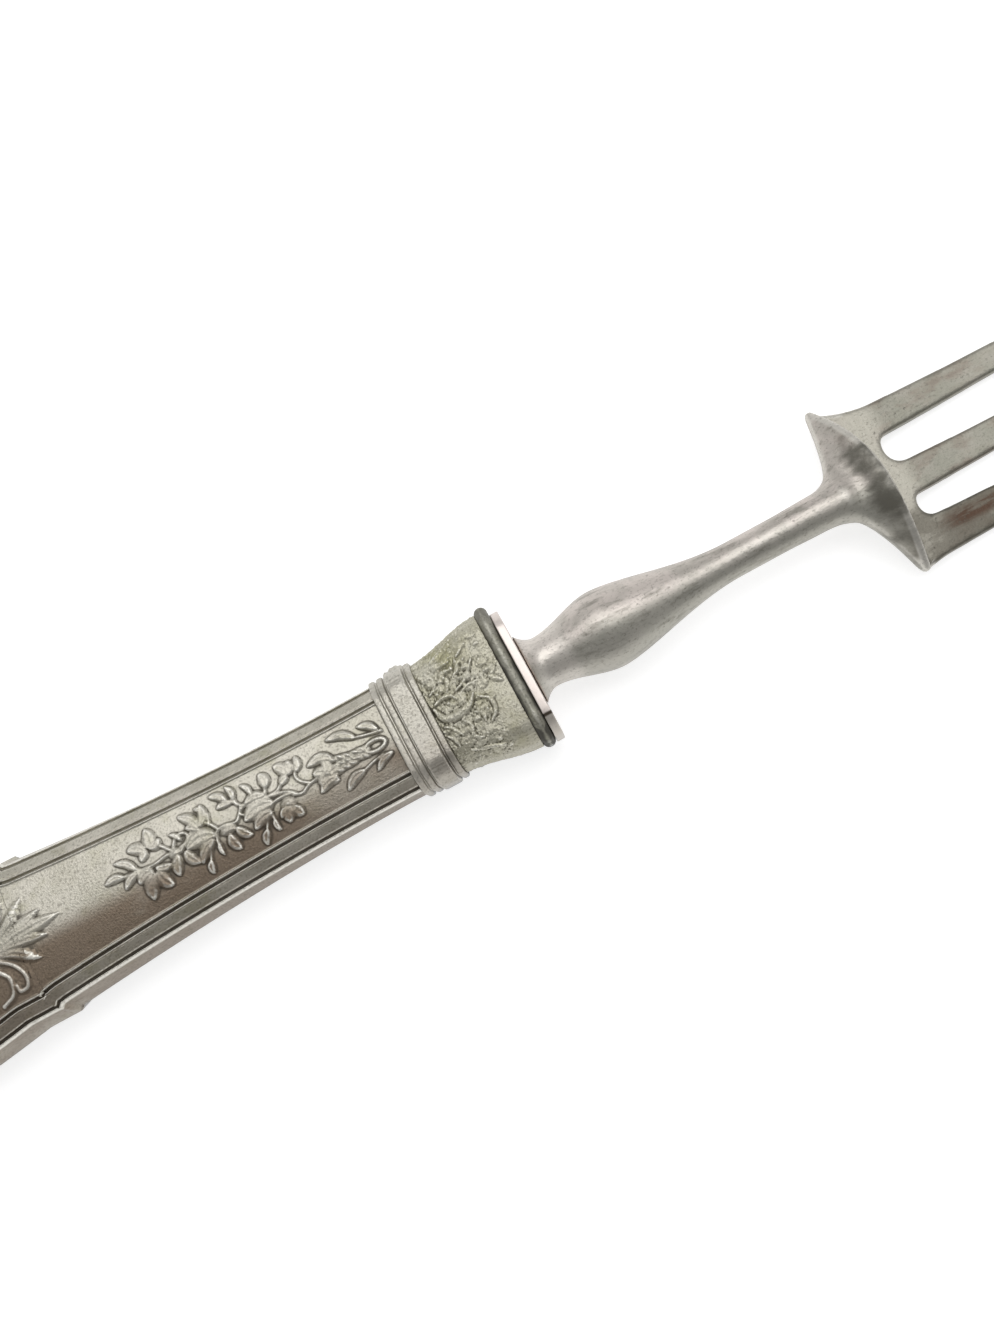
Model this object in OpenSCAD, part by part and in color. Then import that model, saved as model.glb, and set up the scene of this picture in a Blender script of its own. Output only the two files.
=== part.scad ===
// Roasting fork with a filled handle of stamped silver sheet.
// It lies on its back: X runs from the pommel to the tine tips, Z is up.
// The origin is on the table, under the middle of the object's box.

/* [Overall lengths] */
// Mouth of the handle to the end of the pommel
handle_len = 126; // [110:1:150]
// Mouth of the handle to the roots of the gaps between the tines
iron_len = 60.6; // [56:0.2:70]
// Roots of the gaps to the tine tips
tine_len = 72.6; // [55:0.2:85]

/* [Handle body] */
// Width of the body where it meets the ring
body_w = 16.7; // [15:0.1:19]
// Thickness of the body where it meets the ring
body_t = 11.8; // [10:0.1:13]
// Width of the body just before the step in its outline
swell_w = 22.6; // [20:0.1:25]
// Mouth to the step in the outline
step_at = 74.4; // [65:0.2:80]
// How far the outline steps out on each side
step_out = 0.55; // [0.2:0.05:1]
// Length of the straight stretch after the step
step_run = 5.4; // [3:0.1:7]
// Greatest width of the pommel
pommel_w = 28; // [26:0.1:34]
// Thickness of the pommel, which sets how high the fork's axis lies
pommel_t = 14.4; // [13.5:0.1:18]
// Length of the pommel's round end, from its widest place to its tip
pommel_round = 25; // [20:0.5:30]
// Thickness of the stamped sheet
sheet_t = 0.5; // [0.35:0.05:0.8]

/* [Frame around the panels] */
// How far the side wall leans in at the ring
batter_ring = 0.35; // [0.2:0.05:0.6]
// How far the side wall leans in at the pommel
batter_pommel = 1.1; // [0.6:0.05:1.6]
// How much lower the frame lies at the side wall than at the panel
frame_fall = 1.95; // [1.4:0.05:2.2]
// Width of the sloping band of the frame
band_w = 1.2; // [0.9:0.1:1.6]
// Width of each bead and each groove of the frame
bead_w = 0.28; // [0.22:0.02:0.36]
// How far the beads and the band stand over the frame's slope
bead_rise = 0.35; // [0.2:0.05:0.45]
// How far the grooves lie under the frame's slope
groove_depth = 0.22; // [0.1:0.02:0.3]
// How far the panel's edge lies under the top of the handle
panel_edge_drop = 0.75; // [0.5:0.05:1]
// Rise of the panel's middle over its edge
panel_crown = 0.4; // [0.1:0.05:0.6]

/* [Ring and collar] */
// Length of the plain band of the ring
ring_len = 2.7; // [2:0.1:4]
// How far the plain band stands over the body
ring_proud = 0.85; // [0.5:0.05:1.2]
// Length of one fine fillet beside the plain band
fillet_len = 0.95; // [0.6:0.05:1.4]
// Length of the groove beside each fillet
fillet_gap = 0.25; // [0.2:0.05:0.5]
// How far each fillet stands over the body
fillet_proud = 0.35; // [0.2:0.05:0.5]
// Width of the slanted faces beside the ring's front
ring_chamfer_w = 2.4; // [1.5:0.05:3]
// Depth of the slanted faces beside the ring's front
ring_chamfer_t = 2.8; // [2:0.1:4]
// Length of the flared collar
collar_len = 11; // [9:0.1:15]
// Width of the collar at its mouth
collar_mouth_w = 20.4; // [18:0.1:22]
// Thickness of the collar at its mouth
collar_mouth_t = 13; // [12.2:0.1:13.2]
// Width of the slanted faces beside the collar's front, at its mouth
collar_chamfer_w = 2.5; // [1.5:0.1:4]
// Depth of the slanted faces beside the collar's front, at its mouth
collar_chamfer_t = 2.8; // [2:0.1:5]

/* [Mouth] */
// Diameter of the rolled lip's wire
lip_d = 1.9; // [1.4:0.1:2.2]
// Thickness of the bolster plate
plate_t = 1.25; // [0.8:0.05:2]
// How far the bolster plate's edge stays inside the lip's outside
plate_inset = 0.25; // [0.1:0.05:0.6]

/* [Shank] */
// Diameter of the foot that spreads onto the plate
foot_d = 10.8; // [9:0.1:12]
// Diameter of the neck
neck_d = 7.5; // [7:0.1:8.5]
// Bolster plate to the neck
neck_at = 2.5; // [1.5:0.1:3.5]
// Diameter of the baluster
baluster_d = 11.5; // [9.5:0.1:12.5]
// Bolster plate to the baluster's widest place
baluster_at = 12.1; // [10:0.1:14]
// Diameter of the slender part of the shank
shank_d = 5.2; // [4.4:0.1:6]
// Bolster plate to where the slender part starts
shank_at = 32.2; // [28:0.1:35]

/* [Shoulder] */
// Distance between the tips of the two ears
ear_span = 28; // [24.5:0.1:30]
// Ears to the roots of the gaps, along the fork
ear_back = 6; // [5:0.1:7]
// How far the left ear lies behind the middle of the two, and the right one ahead of it
ear_skew = 1.4; // [0:0.1:1.8]
// Length over which the shank flares out to the ears
flare_len = 7.8; // [7:0.1:10]
// How far the middle of the crest lies ahead of the ears
crest_bow = 1.4; // [1:0.1:3]
// Height of the crest's middle over the shank's axis
crest_rise = 3.4; // [3:0.1:4.5]
// How far the ears lie under the shank's axis
ear_drop = 2.5; // [1.8:0.1:3]
// Thickness of the crest's edge
crest_t = 0.8; // [0.5:0.05:1]

/* [Tines] */
// Width of the left tine at its root
left_tine_w = 5; // [3.5:0.1:6]
// Width of the middle tine at its root
middle_tine_w = 5.1; // [3.5:0.1:6]
// Width of the right tine at its root
right_tine_w = 5.8; // [3.5:0.1:7]
// Width of the gap between the left and middle tines
left_gap_w = 4.7; // [3.6:0.1:5.6]
// Width of the gap between the middle and right tines
right_gap_w = 3.7; // [3.4:0.1:5]
// How far the three tines lie to the right of the fork's axis
comb_shift = 0.8; // [0:0.1:1]
// Width of each tine just behind its point
tine_tip_w = 1.6; // [1.2:0.1:2.2]
// Thickness of the tines at their roots
tine_root_t = 2.3; // [1.8:0.1:2.6]
// Thickness of the tines just behind their points
tine_tip_t = 1.3; // [1:0.1:1.7]
// Radius of the long curve of the tines, seen from the side
tine_curve_r = 155; // [140:1:190]
// Roots of the gaps to the lowest place of the tines
belly_at = 14; // [10:0.5:20]

/* [Tang and filling] */
// Width of the square tang where it leaves the shank
tang_w = 4; // [3:0.1:4.6]
// Width of the square tang at its end
tang_end_w = 2; // [1.2:0.1:2.8]
// Length of the tang behind the bolster plate
tang_len = 68; // [50:1:80]
// Depth of the tang's socket in the foot of the shank
socket_depth = 6; // [4:0.1:8]
// Clearance around the tang in the plate, the socket and the filling
tang_clear = 0.05; // [0.02:0.01:0.2]

/* [Hidden] */

silver = [0.66, 0.64, 0.60];
worn_silver = [0.60, 0.58, 0.50];
dark_silver = [0.36, 0.35, 0.33];
bright_iron = [0.74, 0.71, 0.69];
tang_steel = [0.40, 0.40, 0.42];
cement_brown = [0.45, 0.30, 0.22];

// Places along the fork, measured from the mouth: the handle goes back from it, the iron ahead
mouth_x = handle_len - (handle_len + iron_len + tine_len) / 2;
axis_z = pommel_t / 2;
collar_start = lip_d;
collar_end = lip_d + collar_len;
ring_pommel_side = collar_end + 3 * (fillet_len + fillet_gap) + ring_len;
pommel_wide_at = handle_len - pommel_round;
function lerp(a, b, u) = a + (b - a) * u;
function ease(u) = u * u * (3 - 2 * u);
function clamp(u) = max(0, min(1, u));

// Joins rows of points by triangles. Rows may close on the first row, and each row on itself.
function stitch(rows, columns, rows_close, row_closes, flip) = [
    for (r = [0 : rows - (rows_close ? 1 : 2)])
        for (c = [0 : columns - (row_closes ? 1 : 2)])
            let (a = r * columns + c,
                 b = r * columns + (c + 1) % columns,
                 d = (r + 1) % rows * columns + c,
                 e = (r + 1) % rows * columns + (c + 1) % columns)
                each flip ? [[a, b, e], [a, e, d]] : [[a, e, b], [a, d, e]]];

// Half width of the handle's outline at a distance back from the mouth
swell_power = 1.8;
function body_share(d) = clamp((d - ring_pommel_side) / (step_at - ring_pommel_side));
function side_w(d) =
    d <= step_at
        ? lerp(body_w, swell_w, pow(body_share(d), swell_power)) / 2
        : d <= step_at + step_run
            ? swell_w / 2 + step_out
            : lerp(swell_w / 2 + step_out, pommel_w / 2,
                   sin(90 * clamp((d - step_at - step_run) / (pommel_wide_at - step_at - step_run))));

// Half thickness of the handle, level with its top
flat_run = 4;
pommel_flat_start = step_at + step_run + flat_run;
tip_t_share = 0.55;
tip_t_from = pommel_wide_at + pommel_round * tip_t_share;
function rise_share(d) = clamp((d - ring_pommel_side) / (pommel_flat_start - ring_pommel_side));
function tip_share(d) = clamp((d - tip_t_from) / (handle_len - tip_t_from));
function side_t(d) =
    d <= pommel_flat_start
        ? lerp(body_t, pommel_t, ease(rise_share(d))) / 2
        : pommel_t / 2 * lerp(1, tip_t_share, 1 - sqrt(1 - pow(tip_share(d), 2)));

// The outline from the ring along the right side, round the pommel and back along the left side
body_stations = 8;
pommel_stations = 4;
round_stations = 7;
blunt = 0.82;
right_side = concat(
    [for (i = [0 : body_stations])
        let (d = lerp(ring_pommel_side, step_at, i / body_stations)) [d, side_w(d)]],
    [[step_at + step_out, swell_w / 2 + step_out]],
    [for (i = [0 : pommel_stations])
        let (d = lerp(step_at + step_run, pommel_wide_at, i / pommel_stations)) [d, side_w(d)]],
    [for (i = [1 : round_stations - 1])
        let (a = 90 * i / round_stations)
            [pommel_wide_at + pommel_round * pow(sin(a), blunt), pommel_w / 2 * pow(cos(a), blunt)]]);
side_count = len(right_side);
outline = concat(
    [for (p = right_side) [p[0], -p[1]]],
    [[handle_len, 0]],
    [for (i = [side_count - 1 : -1 : 0]) right_side[i]]);
column_count = len(outline);

// Inward normal of the outline at a column; square to the fork at both open ends
function inward(i) =
    i == 0 ? [0, 1] :
    i == column_count - 1 ? [0, -1] :
    let (t = outline[i + 1] - outline[i - 1]) [-t[1], t[0]] / norm(t);
function batter(d) = lerp(batter_ring, batter_pommel, body_share(d));
function inset(i, k) = outline[i] + inward(i) * k;

// Where a column reaches the handle's middle line; the same for the column on the other side
function middle(i, k) =
    let (d = inset(min(i, column_count - 1 - i), k)[0])
        d <= pommel_wide_at ? d : lerp(pommel_wide_at, d, tip_t_share);
function on_flat(d) = d > pommel_flat_start - 1;

// One row of the frame: how far in from the side wall's top, and how far under the handle's top.
// The frame slopes up to the panel: outer bead, groove, band, groove and inner bead.
frame_beads = 6.5;
frame_w = band_w + bead_w * frame_beads;
function slope_drop(k) = panel_edge_drop + frame_fall * (1 - k / frame_w);
function frame_row(k, rise) = [k, slope_drop(k) - rise];
outer_groove = bead_w * 2;
band_inner = bead_w * 3 + band_w;
frame_rows = [
    frame_row(0, 0),
    frame_row(bead_w, bead_rise),
    frame_row(outer_groove, -groove_depth),
    frame_row(bead_w * 3, bead_rise),
    frame_row(band_inner, bead_rise),
    frame_row(frame_w - bead_w * 2, -groove_depth),
    frame_row(frame_w - bead_w, bead_rise),
    frame_row(frame_w, 0)];

function shell_point(i, k, drop, up) =
    let (p = inset(i, k)) [mouth_x - p[0], p[1], axis_z + up * (side_t(p[0]) - drop)];
function seam_point(i, k) = let (p = inset(i, k)) [mouth_x - p[0], p[1], axis_z];
function each_column() = [0 : column_count - 1];
function frame_at(i) = batter(outline[i][0]);

// Rows of the outside, from the seam up over the frame to the middle line
outer_rows = len(frame_rows) + 3;
function panel_drop(m, q) = on_flat(m) ? 0 : panel_edge_drop - panel_crown * (1 - pow(1 - q, 2));
function panel_point(i, q, up) =
    let (k = frame_at(i) + frame_w,
         edge = inset(i, k),
         m = middle(i, k),
         d = q == 1 ? m : lerp(edge[0], m, q))
        [mouth_x - d, q == 1 ? 0 : edge[1] * (1 - q), axis_z + up * (side_t(d) - panel_drop(m, q))];
function outer_row(r, up) = [
    for (i = each_column())
        r == 0 ? seam_point(i, 0) :
        r <= len(frame_rows) ? shell_point(i, frame_at(i) + frame_rows[r - 1][0], frame_rows[r - 1][1], up) :
        panel_point(i, r == outer_rows - 1 ? 1 : 0.5, up)];

// Rows of the inside: seam, top of the side wall, under the frame's inner edge, middle line
inner_rows = 4;
sheet_slant = 0.1;
sheet_drop = sheet_t + sheet_slant;
wall_in = outer_groove + sheet_t;
wall_drop = slope_drop(outer_groove) + groove_depth + sheet_t;
function inner_row(r, up) = [
    for (i = each_column())
        let (k = frame_at(i) + frame_w, m = middle(i, k))
            r == 0 ? seam_point(i, sheet_t) :
            r == 1 ? shell_point(i, frame_at(i) + wall_in, wall_drop, up) :
            r == 2 ? shell_point(i, k, panel_edge_drop + sheet_drop, up) :
            [mouth_x - m, 0, axis_z + up * (side_t(m) - panel_edge_drop + panel_crown - sheet_drop)]];

// Closes the sheet's edge at one open end, where each outer row has an inner row under it
row_under = [for (r = [0 : outer_rows - 1]) r == 0 ? 0 : r <= 4 ? 1 : r < outer_rows - 1 ? 2 : 3];
function end_strip(column, flip) = [
    for (r = [0 : outer_rows - 2])
        let (o0 = (outer_rows - 1 - r) * column_count + column,
             o1 = o0 - column_count,
             i0 = (outer_rows + row_under[r]) * column_count + column,
             i1 = (outer_rows + row_under[r + 1]) * column_count + column)
            each concat(
                flip ? [[o0, o1, i0]] : [[o0, i0, o1]],
                i0 == i1 ? [] : flip ? [[i0, o1, i1]] : [[i0, i1, o1]])];

// Both sides share the points of the middle line, in the first row and in the last
function shared(n, rows) =
    let (r = floor(n / column_count), c = n % column_count)
        r > 0 && r < rows - 1 ? n : r * column_count + min(c, column_count - 1 - c);
function share(faces, rows) = [
    for (f = faces)
        let (g = [for (n = f) shared(n, rows)])
            if (g[0] != g[1] && g[1] != g[2] && g[2] != g[0]) g];

module handle_shell(up) {
    flip = up < 0;
    rows = outer_rows + inner_rows;
    polyhedron(
        points = concat(
            [for (r = [outer_rows - 1 : -1 : 0]) each outer_row(r, up)],
            [for (r = [0 : inner_rows - 1]) each inner_row(r, up)]),
        faces = share(concat(
            stitch(rows, column_count, false, false, flip),
            end_strip(0, !flip),
            end_strip(column_count - 1, flip)), rows));
}

module handle_front_shell() {
    color(silver) handle_shell(1);
}

module handle_back_shell() {
    color(silver) handle_shell(-1);
}

// A section with slanted corners, each corner cut once more so that it reads as worn round.
// It starts on the right at the seam, so its first half is the front.
corner_cut = 0.14;
function section(w, t, cw, ct) =
    let (corners = [[-w, 0], [-w, t - ct], [cw - w, t], [w - cw, t], [w, t - ct],
                    [w, 0], [w, ct - t], [w - cw, -t], [cw - w, -t], [-w, ct - t]])
        [for (i = [0 : 9])
            let (p = corners[i], a = corners[(i + 9) % 10], b = corners[(i + 1) % 10])
                each (i % 5 == 0 ? [p] : [lerp(p, a, corner_cut), lerp(p, b, corner_cut)])];
section_count = 18;
front_count = 10;
function at_station(points, d) = [for (p = points) [mouth_x - d, p[0], axis_z + p[1]]];

module slab(d0, d1) {
    translate([mouth_x - d1, 0, axis_z])
        rotate([90, 0, 90])
            linear_extrude(d1 - d0)
                children();
}

// Inside of the ring and of the collar, which the filling follows
ring_wall = 1.3;
front_share = 0.7;
function ring_section(grow) =
    section(body_w / 2 + grow, body_t / 2 + grow * front_share, ring_chamfer_w, ring_chamfer_t);
ring_bore = section(body_w / 2 - ring_wall, body_t / 2 - ring_wall, ring_chamfer_w, ring_chamfer_t);

module ring_band() {
    pitch = fillet_len + fillet_gap;
    band_at = collar_end + pitch;
    slices = [
        [collar_end, fillet_len, fillet_proud],
        [band_at, ring_len, ring_proud],
        [band_at + ring_len + fillet_gap, fillet_len, fillet_proud],
        [band_at + ring_len + fillet_gap + pitch, fillet_len, fillet_proud]];
    color(silver) difference() {
        union() {
            slab(collar_end, ring_pommel_side) polygon(ring_section(0));
            for (s = slices)
                slab(s[0], s[0] + s[1]) polygon(ring_section(s[2]));
        }
        slab(collar_end - 1, ring_pommel_side + 1) polygon(ring_bore);
    }
}

// The collar flares in a soft double curve from the ring to the mouth
collar_stations = 9;
function collar_section(d, thinner) =
    let (u = ease(clamp((collar_end - d) / collar_len)))
        section(lerp(body_w, collar_mouth_w, u) / 2 - thinner,
                lerp(body_t, collar_mouth_t, u) / 2 - thinner,
                lerp(ring_chamfer_w, collar_chamfer_w, u),
                lerp(ring_chamfer_t, collar_chamfer_t, u));
function collar_ring(d, up) =
    let (out = collar_section(d, 0),
         in = collar_section(d, sheet_t),
         front = [for (i = [0 : front_count - 1]) i])
        at_station(concat(
            [for (i = front) [out[i][0], up * out[i][1]]],
            [for (i = front) let (p = in[front_count - 1 - i]) [p[0], up * p[1]]]), d);
function sheet_end(base, flip) = [
    for (i = [0 : front_count - 2])
        let (a = base + i, b = a + 1, c = base + 2 * front_count - 1 - i, d = c - 1)
            each flip ? [[a, c, b], [b, c, d]] : [[a, b, c], [b, d, c]]];

module collar_shell(up) {
    ring_count = 2 * front_count;
    polyhedron(
        points = [
            for (i = [0 : collar_stations])
                each collar_ring(lerp(collar_end, collar_start, i / collar_stations), up)],
        faces = concat(
            stitch(collar_stations + 1, ring_count, false, true, up > 0),
            sheet_end(0, up > 0),
            sheet_end(collar_stations * ring_count, up < 0)));
}

module collar_front_shell() {
    color(worn_silver) collar_shell(1);
}

module collar_back_shell() {
    color(worn_silver) collar_shell(-1);
}

// A wire bent round the mouth
lip_sides = 8;
lip_overhang = 0.35;
function mouth_section(grow) =
    section(collar_mouth_w / 2 + lip_overhang + grow, collar_mouth_t / 2 + lip_overhang + grow,
            collar_chamfer_w, collar_chamfer_t);

module mouth_lip() {
    wire_r = lip_d / 2;
    color(dark_silver) polyhedron(
        points = [
            for (i = [0 : lip_sides - 1])
                let (a = 360 * (i + 0.5) / lip_sides)
                    each at_station(mouth_section(wire_r / cos(180 / lip_sides) * cos(a) - wire_r),
                                    wire_r + wire_r / cos(180 / lip_sides) * sin(a))],
        faces = stitch(lip_sides, section_count, true, true, true));
}

module bolster_plate() {
    hole_w = tang_w + 2 * tang_clear;
    color(bright_iron) slab(-plate_t, 0) difference() {
        polygon(mouth_section(-plate_inset));
        square(hole_w, center = true);
    }
}

// The shank is turned: foot, neck, baluster and a slender stretch, as radius against distance
foot_steps = 4;
neck_steps = 6;
baluster_steps = 9;
taper_skew = 0.85;
shank_profile = concat(
    [for (i = [0 : foot_steps - 1])
        let (a = 90 * i / foot_steps)
            [neck_at * sin(a), lerp(neck_d, foot_d, pow(1 - sin(a), 2)) / 2]],
    [for (i = [0 : neck_steps - 1])
        [lerp(neck_at, baluster_at, i / neck_steps), lerp(neck_d, baluster_d, ease(i / neck_steps)) / 2]],
    [for (i = [0 : baluster_steps])
        [lerp(baluster_at, shank_at, i / baluster_steps),
         lerp(baluster_d, shank_d, ease(pow(i / baluster_steps, taper_skew))) / 2]]);

// The body of the iron is one skin of rings, from the foot of the shank to the crest
iron_sides = 32;
gap_root_x = mouth_x + iron_len;
ear_x = gap_root_x - ear_back;
flare_x = ear_x - flare_len;
flare_start = 1.06;
flare_r = shank_d / 2 * flare_start;
function circle_ring(x, r) = [
    for (j = [0 : iron_sides - 1])
        let (a = 360 * j / iron_sides) [x, r * cos(a), axis_z + r * sin(a)]];

// Seen from the side the tines' back is a long arc that touches the table at its belly
function tine_back(x) =
    tine_curve_r - sqrt(tine_curve_r * tine_curve_r - pow(x - gap_root_x - belly_at, 2));

// The crest runs from ear to ear over the top; the same ring closes underneath
under_share = 0.8;
under_lap = 0.5;
under_drop = axis_z - ear_drop - tine_back(ear_x) + under_lap;
function skewed(x, c) = x - ear_skew * c * abs(c);
function crest_ring(x, share) = [
    for (j = [0 : iron_sides - 1])
        let (a = 360 * j / iron_sides,
             c = cos(a),
             s = sin(a),
             bow = crest_bow * s * s * (s > 0 ? 1 : under_share),
             z = s > 0 ? (crest_rise + ear_drop) * s * s : -under_drop * sqrt(-s))
            [skewed(x + bow, c), ear_span / 2 * c * share, axis_z - ear_drop + z]];
function blend_rings(a, b, along, out) = [
    for (j = [0 : iron_sides - 1])
        [lerp(a[j][0], b[j][0], along), lerp(a[j][1], b[j][1], out), lerp(a[j][2], b[j][2], out)]];

// Under the crest's edge the body drops into the web and ends there
web_bite = 0.45;
foot_step = 0.3;
foot_share = 0.97;
web_share = 0.95;
crest_front = 0.995;
ear_round = 4;
function foot_ring(x) = [
    for (j = [0 : iron_sides - 1])
        let (a = 360 * j / iron_sides,
             s = sin(a),
             foot_x = skewed(x + crest_bow * s * s, cos(a)),
             half = (tine_root_t / 2 - web_bite) * min(1, abs(s) * ear_round))
            [foot_x, ear_span / 2 * foot_share * cos(a),
             tine_back(foot_x) + tine_root_t / 2 + sign(s) * half]];

// The flare to the ears: share of its length against share of its width
flare_curve = [[0, 0], [0.26, 0.03], [0.46, 0.1], [0.6, 0.24], [0.72, 0.42], [0.85, 0.66], [1, 1]];
iron_rings = concat(
    [for (p = shank_profile) circle_ring(mouth_x + plate_t + p[0], p[1])],
    [for (p = flare_curve) blend_rings(circle_ring(flare_x, flare_r), crest_ring(ear_x, 1), p[0], p[1])],
    [crest_ring(ear_x + crest_t, crest_front), foot_ring(ear_x + crest_t + foot_step)]);

module iron_body() {
    ring_total = len(iron_rings);
    last = (ring_total - 1) * iron_sides;
    half = iron_sides / 2;
    polyhedron(
        points = [for (r = iron_rings) each r],
        faces = concat(
            stitch(ring_total, iron_sides, false, true, false),
            [[for (j = [0 : iron_sides - 1]) j]],
            [for (j = [0 : half - 1])
                let (a = last + j,
                     b = a + 1,
                     c = last + (iron_sides - j) % iron_sides,
                     d = last + iron_sides - j - 1)
                    each concat(j == 0 ? [] : [[a, c, b]], j == half - 1 ? [] : [[b, c, d]])]));
}

// The comb of web and tines: its plan, from the right ear to the left one
tines_w = left_tine_w + left_gap_w + middle_tine_w + right_gap_w + right_tine_w;
right_tine_y = right_tine_w / 2 - tines_w / 2 - comb_shift;
right_gap_y = right_tine_y + right_tine_w / 2 + right_gap_w / 2;
middle_tine_y = right_gap_y + right_gap_w / 2 + middle_tine_w / 2;
left_gap_y = middle_tine_y + middle_tine_w / 2 + left_gap_w / 2;
left_tine_y = left_gap_y + left_gap_w / 2 + left_tine_w / 2;
tip_x = gap_root_x + tine_len;
point_len = 5;
blunt_len = 1.2;
blunt_share = 0.34;
end_share = 0.14;
tine_steps = 8;
taper_power = 1.1;
function tine_start(w) = gap_root_x + w / 2;
function tine_outline(y, w, start, side) = concat(
    [for (i = [0 : tine_steps])
        let (v = i / tine_steps)
            [lerp(start, tip_x - point_len, v), y + side * lerp(tine_tip_w, w, pow(1 - v, taper_power)) / 2]],
    [[tip_x - blunt_len, y + side * tine_tip_w * blunt_share], [tip_x, y + side * tine_tip_w * end_share]]);
function back_to_front(points) = [for (i = [len(points) - 1 : -1 : 0]) points[i]];
function tine_plan(y, w, start_right, start_left) =
    concat(tine_outline(y, w, start_right, -1), back_to_front(tine_outline(y, w, start_left, 1)));
gap_steps = 12;
function gap_arc(y, w) = [
    for (i = [1 : gap_steps - 1])
        let (a = 180 * i / gap_steps) [tine_start(w) - w / 2 * sin(a), y - w / 2 * cos(a)]];
fillet_steps = 5;
fillet_end = gap_root_x + left_gap_w / 2;
function ear_fillet(side) = [
    for (i = [0 : fillet_steps - 1])
        let (u = i / fillet_steps, ear = pow(1 - u, 2))
            [lerp(skewed(ear_x + crest_t, side), fillet_end, u),
             side * lerp(tines_w, ear_span * web_share, ear) / 2 - comb_shift * (1 - ear)]];
comb_plan = concat(
    ear_fillet(-1),
    tine_plan(right_tine_y, right_tine_w, fillet_end, tine_start(right_gap_w)),
    gap_arc(right_gap_y, right_gap_w),
    tine_plan(middle_tine_y, middle_tine_w, tine_start(right_gap_w), tine_start(left_gap_w)),
    gap_arc(left_gap_y, left_gap_w),
    tine_plan(left_tine_y, left_tine_w, tine_start(left_gap_w), fillet_end),
    back_to_front(ear_fillet(1)));

// The comb's side view
belly_x = gap_root_x + belly_at;
rise_steps = 14;
back_steps = 8;
side_stations = concat(
    [for (i = [0 : back_steps - 1]) lerp(ear_x, belly_x, i / back_steps)],
    [for (i = [0 : rise_steps]) lerp(belly_x, tip_x, i / rise_steps)]);
function tine_t(x) =
    x <= tip_x - point_len
        ? lerp(tine_root_t, tine_tip_t, clamp((x - gap_root_x) / (tine_len - point_len)))
        : lerp(tine_tip_t, tine_tip_t / 2, (x - tip_x + point_len) / point_len);

module comb() {
    intersection() {
        linear_extrude(pommel_t) polygon(comb_plan);
        translate([0, ear_span / 2 + 1, 0])
            rotate([90, 0, 0])
                linear_extrude(ear_span + 2)
                    polygon(concat(
                        [for (x = side_stations) [x, tine_back(x)]],
                        [for (x = back_to_front(side_stations)) [x, tine_back(x) + tine_t(x)]]));
    }
}

// The tang is straight through the plate and a little behind it, then it tapers
tang_straight = 1;
module tang_body(grow) {
    root = tang_w / 2 + grow;
    tip = tang_end_w / 2 + grow;
    stations = [
        [mouth_x + plate_t + socket_depth + grow, root],
        [mouth_x - tang_straight, root],
        [mouth_x + plate_t - tang_len - grow, tip]];
    square_ring = function(s) [for (c = [[-1, -1], [1, -1], [1, 1], [-1, 1]])
        [s[0], c[0] * s[1], axis_z + c[1] * s[1]]];
    polyhedron(
        points = [for (s = stations) each square_ring(s)],
        faces = concat(stitch(3, 4, false, true, true), [[3, 2, 1, 0]], [[8, 9, 10, 11]]));
}

module fork_iron() {
    color(bright_iron) union() {
        difference() {
            iron_body();
            tang_body(tang_clear);
        }
        comb();
    }
}

module tang() {
    color(tang_steel) tang_body(0);
}

// The filling is one skin of rings, each of 12 points that start on the right at the seam.
// Its front half is given by four points; the rest mirrors them.
core_clear = 0.1;
function core_ring(d, seam, wall, frame, mid) =
    let (front = [[-seam[0], 0], [-wall[0], wall[1]], [-frame[0], frame[1]], [0, mid],
                  [frame[0], frame[1]], [wall[0], wall[1]], [seam[0], 0]])
        at_station(concat(front, [for (i = [5 : -1 : 1]) [front[i][0], -front[i][1]]]), d);
core_count = 12;

// Inside the handle's shells: half width at a distance from the mouth, inset by k all round
function core_w(d, k) =
    d <= pommel_wide_at
        ? side_w(d) - (d > step_at ? step_out : 0) - k
        : (pommel_w / 2 - step_out - k)
            * pow(cos(asin(pow(clamp((d - pommel_wide_at) / (pommel_round - k)), 1 / blunt))), blunt);
function handle_ring(d) =
    let (t = side_t(d) - core_clear, lean = batter(d))
        core_ring(d,
            [core_w(d, sheet_t + core_clear), 0],
            [core_w(d, lean + wall_in + core_clear), t - wall_drop],
            [core_w(d, lean + frame_w), t - panel_edge_drop - sheet_drop],
            t - sheet_drop - panel_edge_drop + (on_flat(d) ? 0 : panel_crown));
core_step = 0.4;
core_end = pommel_round - batter_pommel - frame_w - core_step;
handle_stations = concat(
    [for (i = [round_stations : -1 : 1]) pommel_wide_at + core_end * sin(90 * i / round_stations)],
    [for (i = [len(right_side) - round_stations : -1 : 1]) right_side[i][0]],
    [ring_pommel_side + core_step]);

// Inside the ring, the collar and the lip: the middles of the worn corners
function bore_ring(d, points) =
    core_ring(d, [points[9][0], 0],
        (points[7] + points[8]) / 2,
        (points[5] + points[6]) / 2,
        points[5][1]);
function square_ring(d, h) =
    core_ring(d, [h, 0], [h, h], [h / 2, h], h);
lip_bore = mouth_section(-lip_d - core_step);
core_rings = concat(
    [for (d = handle_stations) handle_ring(d)],
    [bore_ring(ring_pommel_side, ring_bore), bore_ring(collar_end, ring_bore)],
    [for (i = [0 : collar_stations])
        let (d = lerp(collar_end - core_step, collar_start + core_step, i / collar_stations))
            bore_ring(d, collar_section(d, sheet_t))],
    [bore_ring(collar_start, lip_bore),
     bore_ring(0, lip_bore),
     square_ring(0, tang_w / 2 + tang_clear),
     square_ring(tang_straight, tang_w / 2 + tang_clear),
     square_ring(tang_len - plate_t + tang_clear, tang_end_w / 2 + tang_clear)]);

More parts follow.
